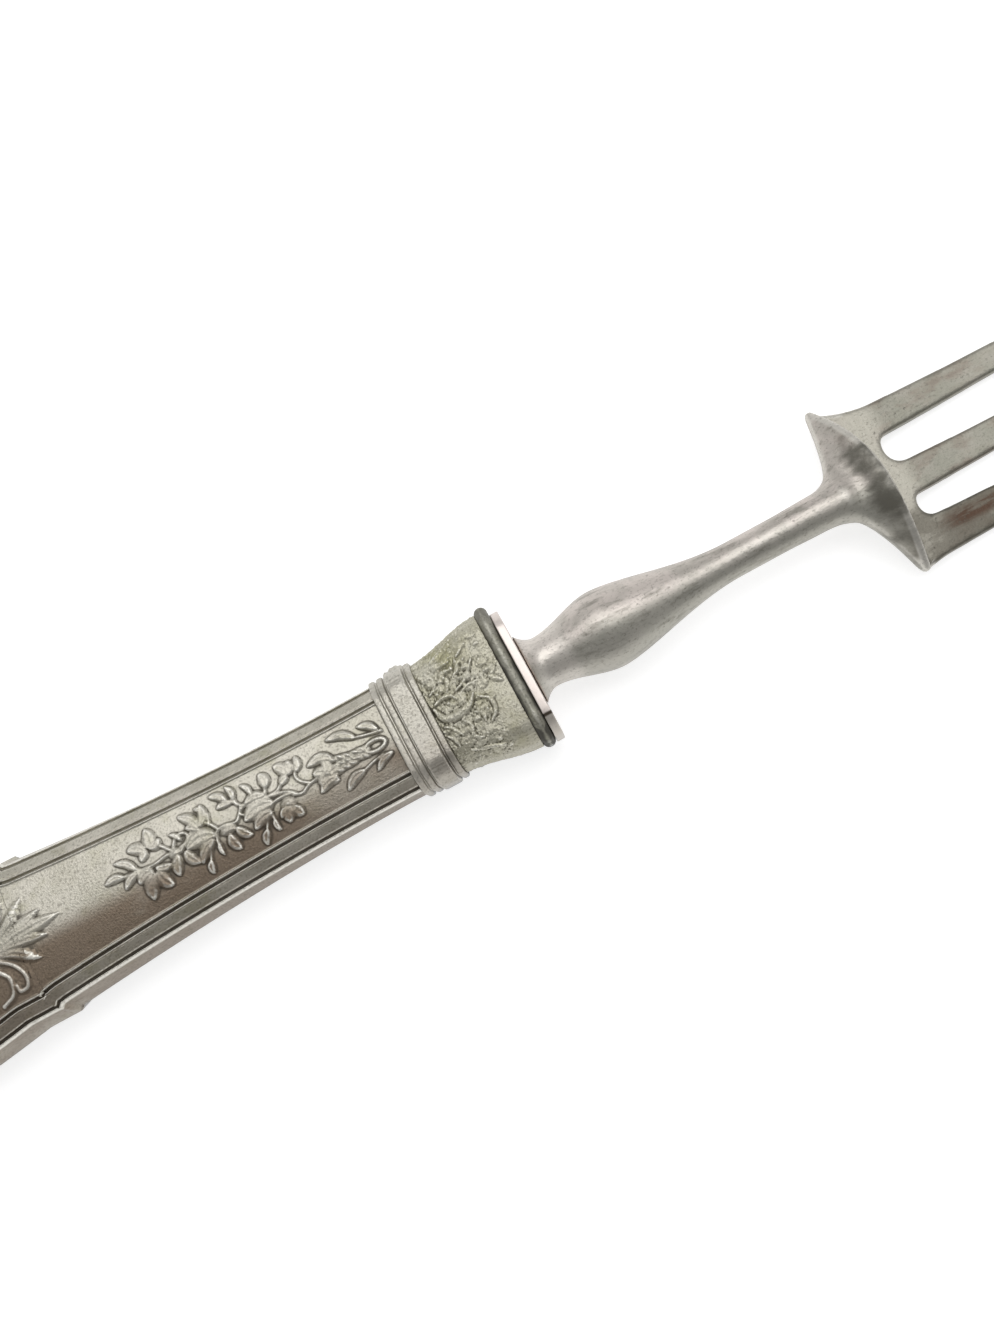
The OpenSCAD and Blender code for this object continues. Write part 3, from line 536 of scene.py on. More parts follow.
def worn_silver(name, dull, pale, tarnish, stain_and_shade, dirt_and_shade, polish, shine=0.35, grain=0.07):
    """Old silver: dull and pale patches, a tarnish, a stain with painted shade on the lower side, painted shade below
    the axis, dirt in the recesses and painted shade in the lip's creases, worn bright tops.
    """
    material, tree, shader = new_material(name)
    hollow = add(tree, "Attribute", {"attribute_name": "hollow"}).outputs["Fac"]
    stained_and_shaded = add(tree, "Attribute", {"attribute_name": "stained_and_shaded"}).outputs["Fac"]
    patches = mottle(tree, 7.0, 5.0)
    speckle = mottle(tree, 0.35, 3.0, shift=3.0)
    stipple = mottle(tree, 0.3, 4.0, shift=9.0)
    place = add(tree, "SeparateXYZ", Vector=add(tree, "TexCoord").outputs["Object"]).outputs
    colour = tinted(tree, between(tree, patches, 0.35, 0.65), dull, pale)
    colour = tinted(tree, between(tree, mottle(tree, 4.5, 6.0, shift=7.0), 0.5, 0.72, 0.0, 0.75), colour, tarnish)
    # Painted shade with a brown stain: darker on the lower side below y 1 mm and where the piece's mark says so,
    # broken by blotches.
    lower_stain_and_shade = maths(tree, "MAXIMUM", between(tree, place["Y"], 1.0 * MM, -5.0 * MM, 0.0, 0.35), stained_and_shaded)
    blotch = between(tree, mottle(tree, 11.0, 4.0, stretch=(2.0, 1.0, 1.0), shift=5.0), 0.3, 0.5, 0.6, 1.0)
    colour = tinted(tree, maths(tree, "MULTIPLY", lower_stain_and_shade, blotch), colour, stain_and_shade)
    # Painted shade: the colour turns grey below the axis, most at 1 mm under it.
    colour = tinted(tree, between(tree, place["Z"], axis_z * MM, (axis_z - 1.0) * MM, 0.0, 0.6), colour, under_shade)
    rubbed = maths(tree, "ADD", maths(tree, "MULTIPLY", hollow, -1.0), maths(tree, "MULTIPLY", speckle, 0.3))
    bright = between(tree, rubbed, 0.35, 1.1)
    colour = tinted(tree, bright, colour, polish)
    # Dark in the recesses, weaker towards the left edge: tarnish on handle, ring and collar, painted shade on the lip
    # where it meets collar and plate.
    grime_and_shade = between(tree, maths(tree, "ADD", hollow, maths(tree, "MULTIPLY", speckle, 0.3)), 0.35, 1.05, 0.0, 0.9)
    grime_and_shade = maths(tree, "MULTIPLY", grime_and_shade, between(tree, place["Y"], 6.0 * MM, 2.5 * MM, 0.4, 1.0))
    grime_and_shade = maths(tree, "MAXIMUM", grime_and_shade, between(tree, stipple, 0.48, 0.7, 0.0, 0.4))
    colour = tinted(tree, grime_and_shade, colour, dirt_and_shade)
    feed(tree, shader.inputs["Base Color"], colour)
    feed(tree, shader.inputs["Metallic"], between(tree, grime_and_shade, 0.2, 1.0, 1.0, 0.45))
    rough = maths(tree, "ADD", between(tree, patches, 0.3, 0.7, shine, shine + 0.1), maths(tree, "MULTIPLY", grime_and_shade, 0.25))
    feed(tree, shader.inputs["Roughness"], maths(tree, "SUBTRACT", rough, maths(tree, "MULTIPLY", bright, 0.05)))
    scratches = mottle(tree, 0.12, 2.0, stretch=(14.0, 1.0, 1.0), shift=1.0)
    bumped(tree, shader, (stipple, grain), (scratches, 0.004))
    return material


# Colour of the painted shade below the axis.
under_shade = (0.33, 0.345, 0.365)
handle_silver = worn_silver(
    "handle_silver", dull=(0.41, 0.39, 0.33), pale=(0.54, 0.515, 0.45), tarnish=(0.36, 0.345, 0.25),
    stain_and_shade=(0.17, 0.13, 0.095), dirt_and_shade=(0.06, 0.05, 0.036), polish=(0.66, 0.64, 0.58))
handle_front = handle_half("handle_front", 1.0, 0.16, 0.3, 40)
settle(handle_front, "handle_front_shell", handle_silver)
handle_back = handle_half("handle_back", -1.0, 0.24, 0.4, 32)
settle(handle_back, "handle_back_shell", handle_silver)

# Ring
# A drawn silver strip bent round the neck of the handle over the joint with the collar, and soldered.
# A plain band runs between fine wires; its front ends at filed grooves on the slanted corners.
ring_low, ring_high = (np.array(corner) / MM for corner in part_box("ring_band"))
ring_from = mouth_x - ring_high[0]
ring_to = mouth_x - ring_low[0]
ring_wall = 1.3
wire_len = 0.95
wire_gap = 0.25
wire_proud = 0.35
band_len = 2.7
band_proud = 0.85
ring_cut_w = 2.4
ring_cut_t = 2.8
side_proud = 0.55
solder_at = (13.6, 16.9)


def half_section(w, t, cut_w, cut_t, count):
    """The front half of a section with slanted corners worn round, from the right seam to the left one."""
    line = np.array([(-w, 0.0), (-w, t - cut_t), (cut_w - w, t), (w - cut_w, t), (w, t - cut_t), (w, 0.0)])
    for share in (0.14, 0.25, 0.25):
        inner = np.stack([lerp(line[:-1], line[1:], share), lerp(line[:-1], line[1:], 1.0 - share)], 1).reshape(-1, 2)
        line = np.vstack([line[:1], inner[1:-1], line[-1:]])
    lengths = np.r_[0.0, np.cumsum(np.hypot(*np.diff(line, axis=0).T))]
    even = np.linspace(0.0, lengths[-1], count)
    return np.c_[np.interp(even, lengths, line[:, 0]), np.interp(even, lengths, line[:, 1])]


def full_section(w, t, cut_w, cut_t, count):
    front = half_section(w, t, cut_w, cut_t, count)
    return np.vstack([front, front[-2:0:-1] * (1.0, -1.0)])


def outward(line):
    """Outward normals of a section drawn from right to left over the front."""
    slope = np.gradient(line, axis=0)
    normal = np.c_[-slope[:, 1], slope[:, 0]]
    return normal / np.hypot(*normal.T)[:, None]


def ring_proud_at(d):
    """How far the ring stands over the body, at a distance back from the mouth."""
    pitch = wire_len + wire_gap
    band_at = ring_from + pitch
    proud = np.full(d.shape, -0.12)
    for start in (ring_from, band_at + band_len + wire_gap, band_at + band_len + wire_gap + pitch):
        off = np.abs(d - start - wire_len / 2) / (wire_len / 2)
        proud = np.maximum(proud, wire_proud * np.clip(1.0 - off ** 4, 0.0, 1.0) ** 0.5 - 0.12 * (off > 1.0))
    off = np.abs(d - band_at - band_len / 2) / (band_len / 2)
    return np.where(off < 1.0, band_proud * np.clip(1.0 - off ** 14, 0.0, 1.0) ** 0.5, proud)


def ring_strip():
    half_count = 150
    d = np.linspace(ring_from, ring_to, 120)
    proud = ring_proud_at(d)
    line = full_section(body_half_w, body_half_t, ring_cut_w, ring_cut_t, half_count)
    normal = outward(np.vstack([line[-1:], line, line[:1]]))[1:-1]
    corner = np.abs(np.abs(line[:, 0]) - (body_half_w - ring_cut_w + 0.15))
    groove = 0.16 * np.exp(-(corner / 0.14) ** 2) * (line[:, 1] > 0)
    on_band = ease((proud - 0.5) / 0.2)
    height = proud[:, None] - groove[None, :] * on_band[:, None]
    at_side = ease((np.abs(line[:, 0]) - body_half_w + 1.2) / 1.0)[None, :]
    height = lerp(height, height * side_proud / band_proud, at_side * on_band[:, None])
    lump = 0.75 + 0.15 * np.sin(2.6 * d) + 0.08 * np.sin(7.3 * d + 1.0)
    lump *= ease((d - solder_at[0]) / 0.5) * ease((solder_at[1] - d) / 0.4)
    lump = lump[:, None] * (line[:, 0] > 0) * at_side * (0.9 + 0.1 * np.sin(3.1 * line[:, 1])[None, :])
    height = np.maximum(height, np.minimum(lump, band_proud))
    rows = line[None] + normal[None] * height[..., None] * (1.0, 0.9)
    rows[..., 1] = np.clip(rows[..., 1], ring_low[2] - axis_z, ring_high[2] - axis_z)
    hollow = np.clip((softened(height, 8) - height) / 0.12, -1.0, 1.0)
    bore = full_section(body_half_w - ring_wall, body_half_t - ring_wall, ring_cut_w, ring_cut_t, half_count)
    rows = np.concatenate([rows, bore[None], bore[None]])
    hollow = np.vstack([hollow, np.zeros((2, hollow.shape[1]))])
    d = np.r_[d, ring_to, ring_from]
    points = np.concatenate([np.broadcast_to((mouth_x - d)[:, None, None], rows.shape[:2] + (1,)), rows], -1)
    points[..., 2] += axis_z
    return skin("ring", points, hollow, rows_close=True)


ring_silver = worn_silver(
    "ring_silver", dull=(0.42, 0.40, 0.35), pale=(0.54, 0.52, 0.465), tarnish=(0.37, 0.35, 0.28),
    stain_and_shade=(0.30, 0.26, 0.22), dirt_and_shade=(0.06, 0.05, 0.036), polish=(0.66, 0.64, 0.58))
settle(ring_strip(), "ring_band", ring_silver)

# Collar halves
# Two flared shells struck with leaves and scrolls on a stippled ground, soldered along the side seam.
# Long handling has worn the ornament soft, and a yellow-green tarnish sits in it.
collar_low, collar_high = (np.array(corner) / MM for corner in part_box("collar_front_shell"))
collar_from = mouth_x - collar_high[0]
collar_to = mouth_x - collar_low[0]
mouth_half_w = 10.2
mouth_half_t = 6.5
mouth_cut_w = 2.5
mouth_cut_t = 2.8
collar_plain_to = 4.9
collar_seed = 11
collar_lumps = 110
collar_strokes = [
    ([(12.5, 0.4), (11.8, -1.3), (9.9, -1.7), (8.1, -1.3), (6.9, -0.2)], 0.55, 0.42),
    ([(12.2, 0.9), (10.9, 1.3), (9.7, 1.1), (9.1, 0.2)], 0.35, 0.3), ([(9.9, 1.6), (9.2, 3.0), (9.6, 4.0)], 0.35, 0.3),
    ([(8.8, 1.3), (6.8, 2.2), (4.9, 4.2)], 0.22, 0.26), ([(8.4, 0.7), (6.9, 1.2), (5.5, 1.2)], 0.2, 0.24),
    ([(12.4, -2.3), (11.5, -2.9), (10.6, -4.4)], 0.3, 0.32), ([(12.6, -3.6), (11.9, -4.4), (11.7, -5.6)], 0.3, 0.28),
    ([(6.4, -0.8), (5.1, -1.9), (5.2, -3.6), (6.3, -4.6)], 0.3, 0.3), ([(7.8, -2.4), (6.9, -3.1), (7.0, -4.2)], 0.3, 0.26),
    ([(9.8, -2.6), (9.0, -3.6), (9.3, -5.2), (8.2, -6.0)], 0.28, 0.26),
    ([(12.2, 2.4), (11.2, 3.0), (10.9, 4.4), (11.8, 5.4)], 0.3, 0.26), ([(8.2, 3.2), (7.2, 3.9), (7.0, 5.2)], 0.3, 0.24),
    ([(6.6, 5.4), (5.6, 6.2), (5.4, 7.6)], 0.3, 0.22), ([(10.6, -6.8), (8.6, -7.6), (6.2, -8.4)], 0.3, 0.3),
    ([(10.2, 6.6), (8.4, 7.4), (6.4, 8.6)], 0.3, 0.24), ([(3.9, 1.0), (3.2, 0.2), (2.5, -0.4)], 0.35, 0.2),
]
collar_beads = [
    ((9.6, 3.9), 0.42), ((8.8, 4.3), 0.38), ((8.0, 4.3), 0.36), ((12.1, -2.4), 0.4), ((6.9, -0.1), 0.45),
    ((7.9, 2.9), 0.32), ((10.4, 0.3), 0.38), ((6.1, -2.9), 0.36), ((11.3, 2.1), 0.34), ((3.3, 1.1), 0.3),
]


def collar_relief(d, s):
    """Height of the worn ornament; s runs round the section from the middle of the front."""
    ground = np.zeros(d.shape)
    for line, half_w, rise in collar_strokes:
        ridge(ground, d, s, line, lambda u: 1.25 * half_w * (0.4 + 0.6 * np.sin(np.pi * u)), 1.25 * rise)
    for place, r in collar_beads:
        boss(ground, d, s, place, r, r, 0.3)
    for row in range(13):
        for column in range(30):
            place = (12.4 - 0.56 * row, (column - 14.5 + 0.5 * (row % 2)) * 0.72)
            turned = np.sin(3.1 * row + 1.7 * column)
            place = (place[0] + 0.14 * turned, place[1] + 0.18 * np.cos(2.3 * row - 1.3 * column))
            boss(ground, d, s, place, 0.2, 0.22, 0.07 + 0.03 * turned)
    chance = np.random.default_rng(collar_seed)
    for _ in range(collar_lumps):
        place = (chance.uniform(3.0, 12.6), chance.uniform(-9.5, 9.5))
        if place[0] < collar_plain_to and place[1] < 0.0:
            continue
        boss(ground, d, s, place, chance.uniform(0.3, 1.0), chance.uniform(0.3, 0.8), chance.uniform(0.12, 0.34))
    rough = softened(chance.normal(size=d.shape), 2)
    plain = (d < collar_plain_to) & (s < 0.0)
    return softened(ground, 2) + rough * np.where(plain, 0.02, 0.075)


def collar_half(name, up):
    outer_count = 250
    inner_count = 16
    stations = 130
    d = np.linspace(collar_to, collar_from, stations)
    share = ease((collar_to - d) / (collar_to - collar_from))
    outer = np.zeros((stations, outer_count, 2))
    inner = np.zeros((stations, inner_count, 2))
    around = np.zeros((stations, outer_count))
    for i, u in enumerate(share):
        sizes = (lerp(body_half_w, mouth_half_w, u), lerp(body_half_t, mouth_half_t, u))
        cuts = (lerp(ring_cut_w, mouth_cut_w, u), lerp(ring_cut_t, mouth_cut_t, u))
        outer[i] = half_section(*sizes, *cuts, outer_count)
        inner[i] = half_section(sizes[0] - sheet_t, sizes[1] - sheet_t, *cuts, inner_count)[::-1]
        length = np.hypot(*np.diff(outer[i], axis=0).T).sum()
        around[i] = (np.linspace(0.0, 1.0, outer_count) - 0.5) * length
    relief = collar_relief(np.repeat(d[:, None], outer_count, 1), around)
    seam = np.minimum(np.arange(outer_count), np.arange(outer_count)[::-1]) / 12.0
    relief = relief * ease(seam)[None] - 0.25
    normal = np.stack([outward(line) for line in outer])
    outer = outer + normal * relief[..., None] * ease(seam)[None, :, None]
    hollow = np.clip((softened(relief, 10) - relief) / 0.085, -1.0, 1.0)
    rows = np.concatenate([outer, inner], 1)
    hollow = np.hstack([hollow, np.zeros((stations, inner_count))])
    x = np.broadcast_to((mouth_x - d)[:, None, None], rows.shape[:2] + (1,))
    points = np.concatenate([x, rows[..., :1], axis_z + up * np.maximum(rows[..., 1:], 0.0)], -1)
    return skin(name, points, hollow, cap=True)


collar_silver = worn_silver(
    "collar_silver", dull=(0.42, 0.40, 0.305), pale=(0.56, 0.54, 0.455), tarnish=(0.36, 0.345, 0.215),
    stain_and_shade=(0.36, 0.34, 0.28), dirt_and_shade=(0.055, 0.048, 0.032), polish=(0.70, 0.68, 0.59), shine=0.42, grain=0.09)
settle(collar_half("collar_front", 1.0), "collar_front_shell", collar_silver)
settle(collar_half("collar_back", -1.0), "collar_back_shell", collar_silver)

# Mouth lip
# A silver wire bent round the collar's mouth and soldered to its edge.
# Its dark colour all round is painted shade between collar and plate, and it has small dents from use.
lip_low, lip_high = (np.array(corner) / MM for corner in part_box("mouth_lip"))
wire_r = (lip_high[0] - lip_low[0]) / 2
lip_half_w = lip_high[1]
lip_half_t = lip_high[2] - axis_z


def lip_wire():
    half_count = 150
    turns = 22
    line = full_section(lip_half_w, lip_half_t, mouth_cut_w, mouth_cut_t, half_count)
    normal = outward(np.vstack([line[-1:], line, line[:1]]))[1:-1]
    count = len(line)
    place = np.linspace(0.0, 2 * np.pi, count, endpoint=False)
    dents = 0.06 + 0.03 * np.sin(5 * place + 1.0) + 0.03 * np.sin(13 * place) + 0.02 * np.sin(31 * place + 2.0)
    angle = np.linspace(0.0, 2 * np.pi, turns, endpoint=False)
    drop = wire_r * (1.0 - np.cos(angle))
    rows = line[None] - normal[None] * (drop[:, None] + dents[None] * (0.6 + 0.4 * np.cos(angle))[:, None])[..., None]
    x = lip_high[0] - wire_r - wire_r * np.sin(angle)
    points = np.concatenate([np.broadcast_to(x[:, None, None], (turns, count, 1)), rows], -1)
    points[..., 2] += axis_z
    # The hollow mark is painted shade here: full on the faces against collar and plate and at the section's side ends,
    # raised in the deeper dents.
    ends = ease((np.abs(line[:, 0]) - 8.2) / 0.8)[None]
    hollow = (1.9 * np.abs(np.sin(angle)) - 0.75)[:, None] + (dents[None] - 0.06) * 5.0 + 0.9 * ends
    return skin("lip", points, np.clip(hollow, -1.0, 1.0), rows_close=True)


# The lip's dark colours are painted shade between collar and plate.
lip_silver = worn_silver(
    "lip_silver", dull=(0.20, 0.195, 0.155), pale=(0.30, 0.29, 0.25), tarnish=(0.17, 0.165, 0.11),
    stain_and_shade=(0.17, 0.165, 0.125), dirt_and_shade=(0.05, 0.047, 0.037), polish=(0.38, 0.37, 0.32), shine=0.4, grain=0.09)
settle(lip_wire(), "mouth_lip", lip_silver)

# Bolster plate
# A flat steel plate filed to the mouth's outline and slipped over the tang.
# It closes the handle; its edge is polished bright and pinkish, with fine file marks.
plate_low, plate_high = (np.array(corner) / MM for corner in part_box("bolster_plate"))
plate_edge_r = 0.18
plate_short = 1.4
tang_hole = 2.05


def plate_disc():
    half_count = 120
    w = plate_high[1]
    t = plate_high[2] - axis_z
    outline = full_section(w, t, mouth_cut_w, mouth_cut_t, half_count)
    outline[:, 0] *= np.where(outline[:, 0] > 0, 1.0 - plate_short / w, 1.0)
    normal = outward(np.vstack([outline[-1:], outline, outline[:1]]))[1:-1]
    hole = full_section(tang_hole, tang_hole, 0.2, 0.2, half_count)
    rows = []
    for x, share in ((plate_low[0], 1.0), (plate_low[0], 0.5)):
        rows.append((x, lerp(outline, hole, share)))
    for start, middle in ((np.pi, plate_low[0] + plate_edge_r), (np.pi / 2, plate_high[0] - plate_edge_r)):
        for turn in np.linspace(start, start - np.pi / 2, 5):
            inset = plate_edge_r * (1.0 - np.sin(turn))
            rows.append((middle + plate_edge_r * np.cos(turn), outline - normal * inset))
    for x, share in ((plate_high[0], 0.5), (plate_high[0], 1.0)):
        rows.append((x, lerp(outline, hole, share)))
    points = np.stack([np.c_[np.full(len(line), x), line[:, 0], axis_z + line[:, 1]] for x, line in rows])
    return skin("plate", points, np.zeros(points.shape[:2]), rows_close=True)


def filed_steel():
    material, tree, shader = new_material("filed_steel")
    patches = mottle(tree, 3.0)
    colour = tinted(tree, between(tree, patches, 0.35, 0.65), (0.60, 0.54, 0.50), (0.74, 0.68, 0.64))
    side = add(tree, "SeparateXYZ", Vector=add(tree, "TexCoord").outputs["Object"]).outputs["Y"]
    # Painted shade: the lower face, below y -7 mm, is darker.
    colour = tinted(tree, between(tree, side, -7.0 * MM, -7.5 * MM, 0.0, 0.85), colour, (0.47, 0.44, 0.39))
    # A thin dark line painted along the corner at y -7.35 mm.
    corner_line = maths(tree, "ABSOLUTE", maths(tree, "ADD", side, 7.35 * MM))
    colour = tinted(tree, between(tree, corner_line, 0.35 * MM, 0.1 * MM), colour, (0.08, 0.065, 0.05))
    spots = between(tree, mottle(tree, 0.8, 6.0, shift=4.0), 0.62, 0.75, 0.0, 0.7)
    colour = tinted(tree, spots, colour, (0.33, 0.28, 0.25))
    feed(tree, shader.inputs["Base Color"], colour)
    feed(tree, shader.inputs["Metallic"], 1.0)
    feed(tree, shader.inputs["Roughness"], between(tree, patches, 0.3, 0.7, 0.36, 0.5))
    bumped(tree, shader, (mottle(tree, 0.1, 2.0, stretch=(1.0, 6.0, 6.0)), 0.01))
    return material


settle(plate_disc(), "bolster_plate", filed_steel())

# Fork
# Shank, shoulder and tines are one bar of steel: the shank turned, the shoulder forged out to two ears
# with a sharp crest between them, the tines sawn apart, filed and bent in one long curve.
iron_low, iron_high = (np.array(corner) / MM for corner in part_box("fork_iron"))
foot_x = iron_low[0]
tip_x = iron_high[0]
tine_len = 72.6
foot_r = 5.4
neck_r = 3.75
neck_at = 2.5
baluster_r = 5.75
baluster_at = 12.1
shank_r = 2.6
shank_at = 32.2
taper_skew = 0.85
gap_root_x = tip_x - tine_len
ear_back = 6.0
flare_len = 7.8
flare_swell = 1.06
ear_x = gap_root_x - ear_back
flare_x = ear_x - flare_len
ear_half_span = iron_high[1]
ear_drop = 2.5
crest_rise = 3.4
crest_bow = 1.4
crest_t = 0.8
under_drop = 4.0
ear_skew = 1.4
tine_widths = (5.8, 5.1, 5.0)
gap_widths = (3.7, 4.7)
comb_shift = 0.8
taper_power = 1.1
tine_tip_w = 1.6
tine_root_t = 2.3
tine_tip_t = 1.3
tine_curve_r = 155.0
belly_x = gap_root_x + 14.0
point_len = 5.0
iron_sides = 96
flare_curve = [(0, 0), (0.14, 0.01), (0.26, 0.03), (0.46, 0.1), (0.6, 0.24), (0.72, 0.42), (0.85, 0.66), (1, 1)]
valley = 0.7
skin_size = 0.24


def shank_radius(p):
    """Radius of the turned shank at a distance from the plate."""
    foot = neck_r + (foot_r - neck_r) * np.clip(1.0 - p / neck_at, 0.0, 1.0) ** 2
    swell = lerp(foot, baluster_r, ease((p - neck_at) / (baluster_at - neck_at)))
    taper = ease(np.clip((p - baluster_at) / (shank_at - baluster_at), 0.0, 1.0) ** taper_skew)
    widening = ease((p - flare_x + foot_x + 7.0) / 7.0)
    return lerp(swell, shank_r, taper) * lerp(1.0, flare_swell, widening)


def tine_back(x):
    """Height of the tines' back: a long arc that touches the table at its belly."""
    return tine_curve_r - np.sqrt(tine_curve_r ** 2 - (x - belly_x) ** 2)


def tine_thick(x):
    body = lerp(tine_root_t, tine_tip_t, np.clip((x - gap_root_x) / (tine_len - point_len), 0.0, 1.0))
    return body * lerp(1.0, 0.5, np.clip((x - tip_x + point_len) / point_len, 0.0, 1.0))


def ring_round(x, r):
    angle = np.linspace(0.0, 2 * np.pi, iron_sides, endpoint=False)
    return np.c_[np.full(iron_sides, x), r * np.cos(angle), axis_z + r * np.sin(angle)]


def crest_ring(x, share=1.0):
    """The crest from ear to ear over the top; the same ring closes underneath."""
    angle = np.linspace(0.0, 2 * np.pi, iron_sides, endpoint=False)
    side = np.cos(angle)
    top = np.sin(angle)
    over = (crest_rise + ear_drop) * top ** 2
    under = -under_drop * np.sqrt(np.abs(top))
    bow = crest_bow * top ** 2 * np.where(top > 0, 1.0, 0.8)
    skew = -ear_skew * side * np.abs(side)
    z = axis_z - ear_drop + np.where(top > 0, over, under)
    return np.c_[x + bow + skew, ear_half_span * side * share, z]


def mesh_of(rows):
    """A closed body of rings in millimetres, with flat ends."""
    count = len(rows[0])
    faces = []
    for r in range(len(rows) - 1):
        for c in range(count):
            a = r * count + c
            b = r * count + (c + 1) % count
            faces.append((a, b, b + count, a + count))
    faces.append(tuple(range(count))[::-1])
    faces.append(tuple(range((len(rows) - 1) * count, len(rows) * count)))
    mesh = bpy.data.meshes.new("blank")
    mesh.from_pydata((np.vstack(rows) * MM).tolist(), [], faces)
    return mesh


def forged_body():
    """Shank and shoulder, from the foot to the crest."""
    rows = [ring_round(foot_x + p, shank_radius(p)) for p in np.arange(0.0, flare_x - foot_x, 0.35)]
    start = ring_round(flare_x, shank_r * flare_swell)
    end = crest_ring(ear_x)
    for along, out in smooth_line(flare_curve, 5):
        row = lerp(start, end, out)
        row[:, 0] = lerp(start[:, 0], end[:, 0], along)
        above = np.clip((row[:, 2] - axis_z) / 3.0, 0.0, 1.0)
        row[:, 2] -= valley * above * np.sin(np.pi * np.clip((along - 0.35) / 0.65, 0.0, 1.0)) ** 2
        rows.append(row)
    rows.append(crest_ring(ear_x + crest_t, 0.995))
    root = crest_ring(ear_x + crest_t + 0.3, 0.97)
    middle = tine_back(root[:, 0]) + tine_root_t / 2
    root[:, 2] = middle + np.clip(root[:, 2] - middle, -0.6, 0.6)
    rows.append(root)
    return mesh_of(rows)


def tine_edge(y, w, start, side):
    steps = np.linspace(0.0, 1.0, 24)
    x = lerp(start, tip_x - point_len, steps)
    edge = y + side * lerp(tine_tip_w, w, (1.0 - steps) ** taper_power) / 2
    return np.c_[np.r_[x, tip_x - 1.2, tip_x], np.r_[edge, y + side * tine_tip_w * 0.34, y + side * tine_tip_w * 0.14]]


def comb_outline():
    """The web and the three tines in plan, from the right ear to the left one."""
    whole = sum(tine_widths) + sum(gap_widths)
    fillet_end = gap_root_x + gap_widths[1] / 2
    u = np.linspace(0.0, 1.0, 12, endpoint=False)
    fillet_x = lerp(ear_x + crest_t, fillet_end, u)
    ear = (1.0 - u) ** 2
    fillet_y = lerp(whole / 2, ear_half_span * 0.98, ear)
    shift = comb_shift * (1.0 - ear)
    parts = [np.c_[fillet_x + ear_skew * (1.0 - u), -fillet_y - shift]]
    y = -whole / 2 - comb_shift
    start = fillet_end
    for tine, w in enumerate(tine_widths):
        middle = y + w / 2
        gap = gap_widths[tine] if tine < len(gap_widths) else None
        end = fillet_end if gap is None else gap_root_x + gap / 2
        parts += [tine_edge(middle, w, start, -1), tine_edge(middle, w, end, 1)[::-1]]
        y += w
        start = end
        if gap is not None:
            angle = np.linspace(0.0, np.pi, 26)[1:-1]
            square = np.where(angle > np.pi / 2, 0.55, 0.9)
            parts.append(np.c_[end - gap / 2 * np.sin(angle) ** square, y + gap / 2 * (1.0 - np.cos(angle))])
            y += gap
    parts.append(np.c_[fillet_x - ear_skew * (1.0 - u), fillet_y - shift][::-1])
    return np.vstack(parts)


def remade(mesh, size):
    """The same body with one even skin, its overlapping parts fused. Size is in millimetres."""
    body = bpy.data.objects.new("blank", mesh)
    bpy.context.scene.collection.objects.link(body)
    step = body.modifiers.new("skin", "REMESH")
    step.mode = "VOXEL"
    step.voxel_size = size * MM
    fused = bpy.data.meshes.new_from_object(body.evaluated_get(bpy.context.evaluated_depsgraph_get()))
    bpy.data.objects.remove(body)
    return fused


def points_of(mesh):
    points = np.zeros(len(mesh.vertices) * 3, np.float32)
    mesh.vertices.foreach_get("co", points)
    return points.reshape(-1, 3).astype(float) / MM


def flat_comb():
    """The comb sawn from a flat bar, before it is bent."""
    outline = comb_outline()
    body = bmesh.new()
    corners = [body.verts.new((x * MM, y * MM, 0.0)) for x, y in outline]
    face = body.faces.new(corners)
    grown = bmesh.ops.extrude_face_region(body, geom=[face])["geom"]
    lifted = [item for item in grown if isinstance(item, bmesh.types.BMVert)]
    bmesh.ops.translate(body, verts=lifted, vec=(0.0, 0.0, tine_root_t * MM))
    bmesh.ops.recalc_face_normals(body, faces=body.faces)
    bmesh.ops.triangulate(body, faces=body.faces)
    mesh = bpy.data.meshes.new("blank")
    body.to_mesh(mesh)
    body.free()
    return mesh


def bent_comb():
    """The comb with its tines bent in their long curve and filed thinner to the points."""
    mesh = remade(flat_comb(), 0.3)
    points = points_of(mesh)
    x = points[:, 0]
    points[:, 2] = tine_back(x) + points[:, 2] / tine_root_t * tine_thick(x)
    mesh.vertices.foreach_set("co", (points * MM).ravel())
    return mesh


def relaxed(points, edges, passes, share=0.5):
    """Each point drawn towards the middle of its neighbours."""
    count = np.bincount(edges.ravel(), minlength=len(points))[:, None]
    for _ in range(passes):
        total = np.stack([
            np.bincount(edges[:, 0], points[edges[:, 1], axis], len(points))
            + np.bincount(edges[:, 1], points[edges[:, 0], axis], len(points)) for axis in range(3)], 1)
        points = points + share * (total / count - points)
    return points


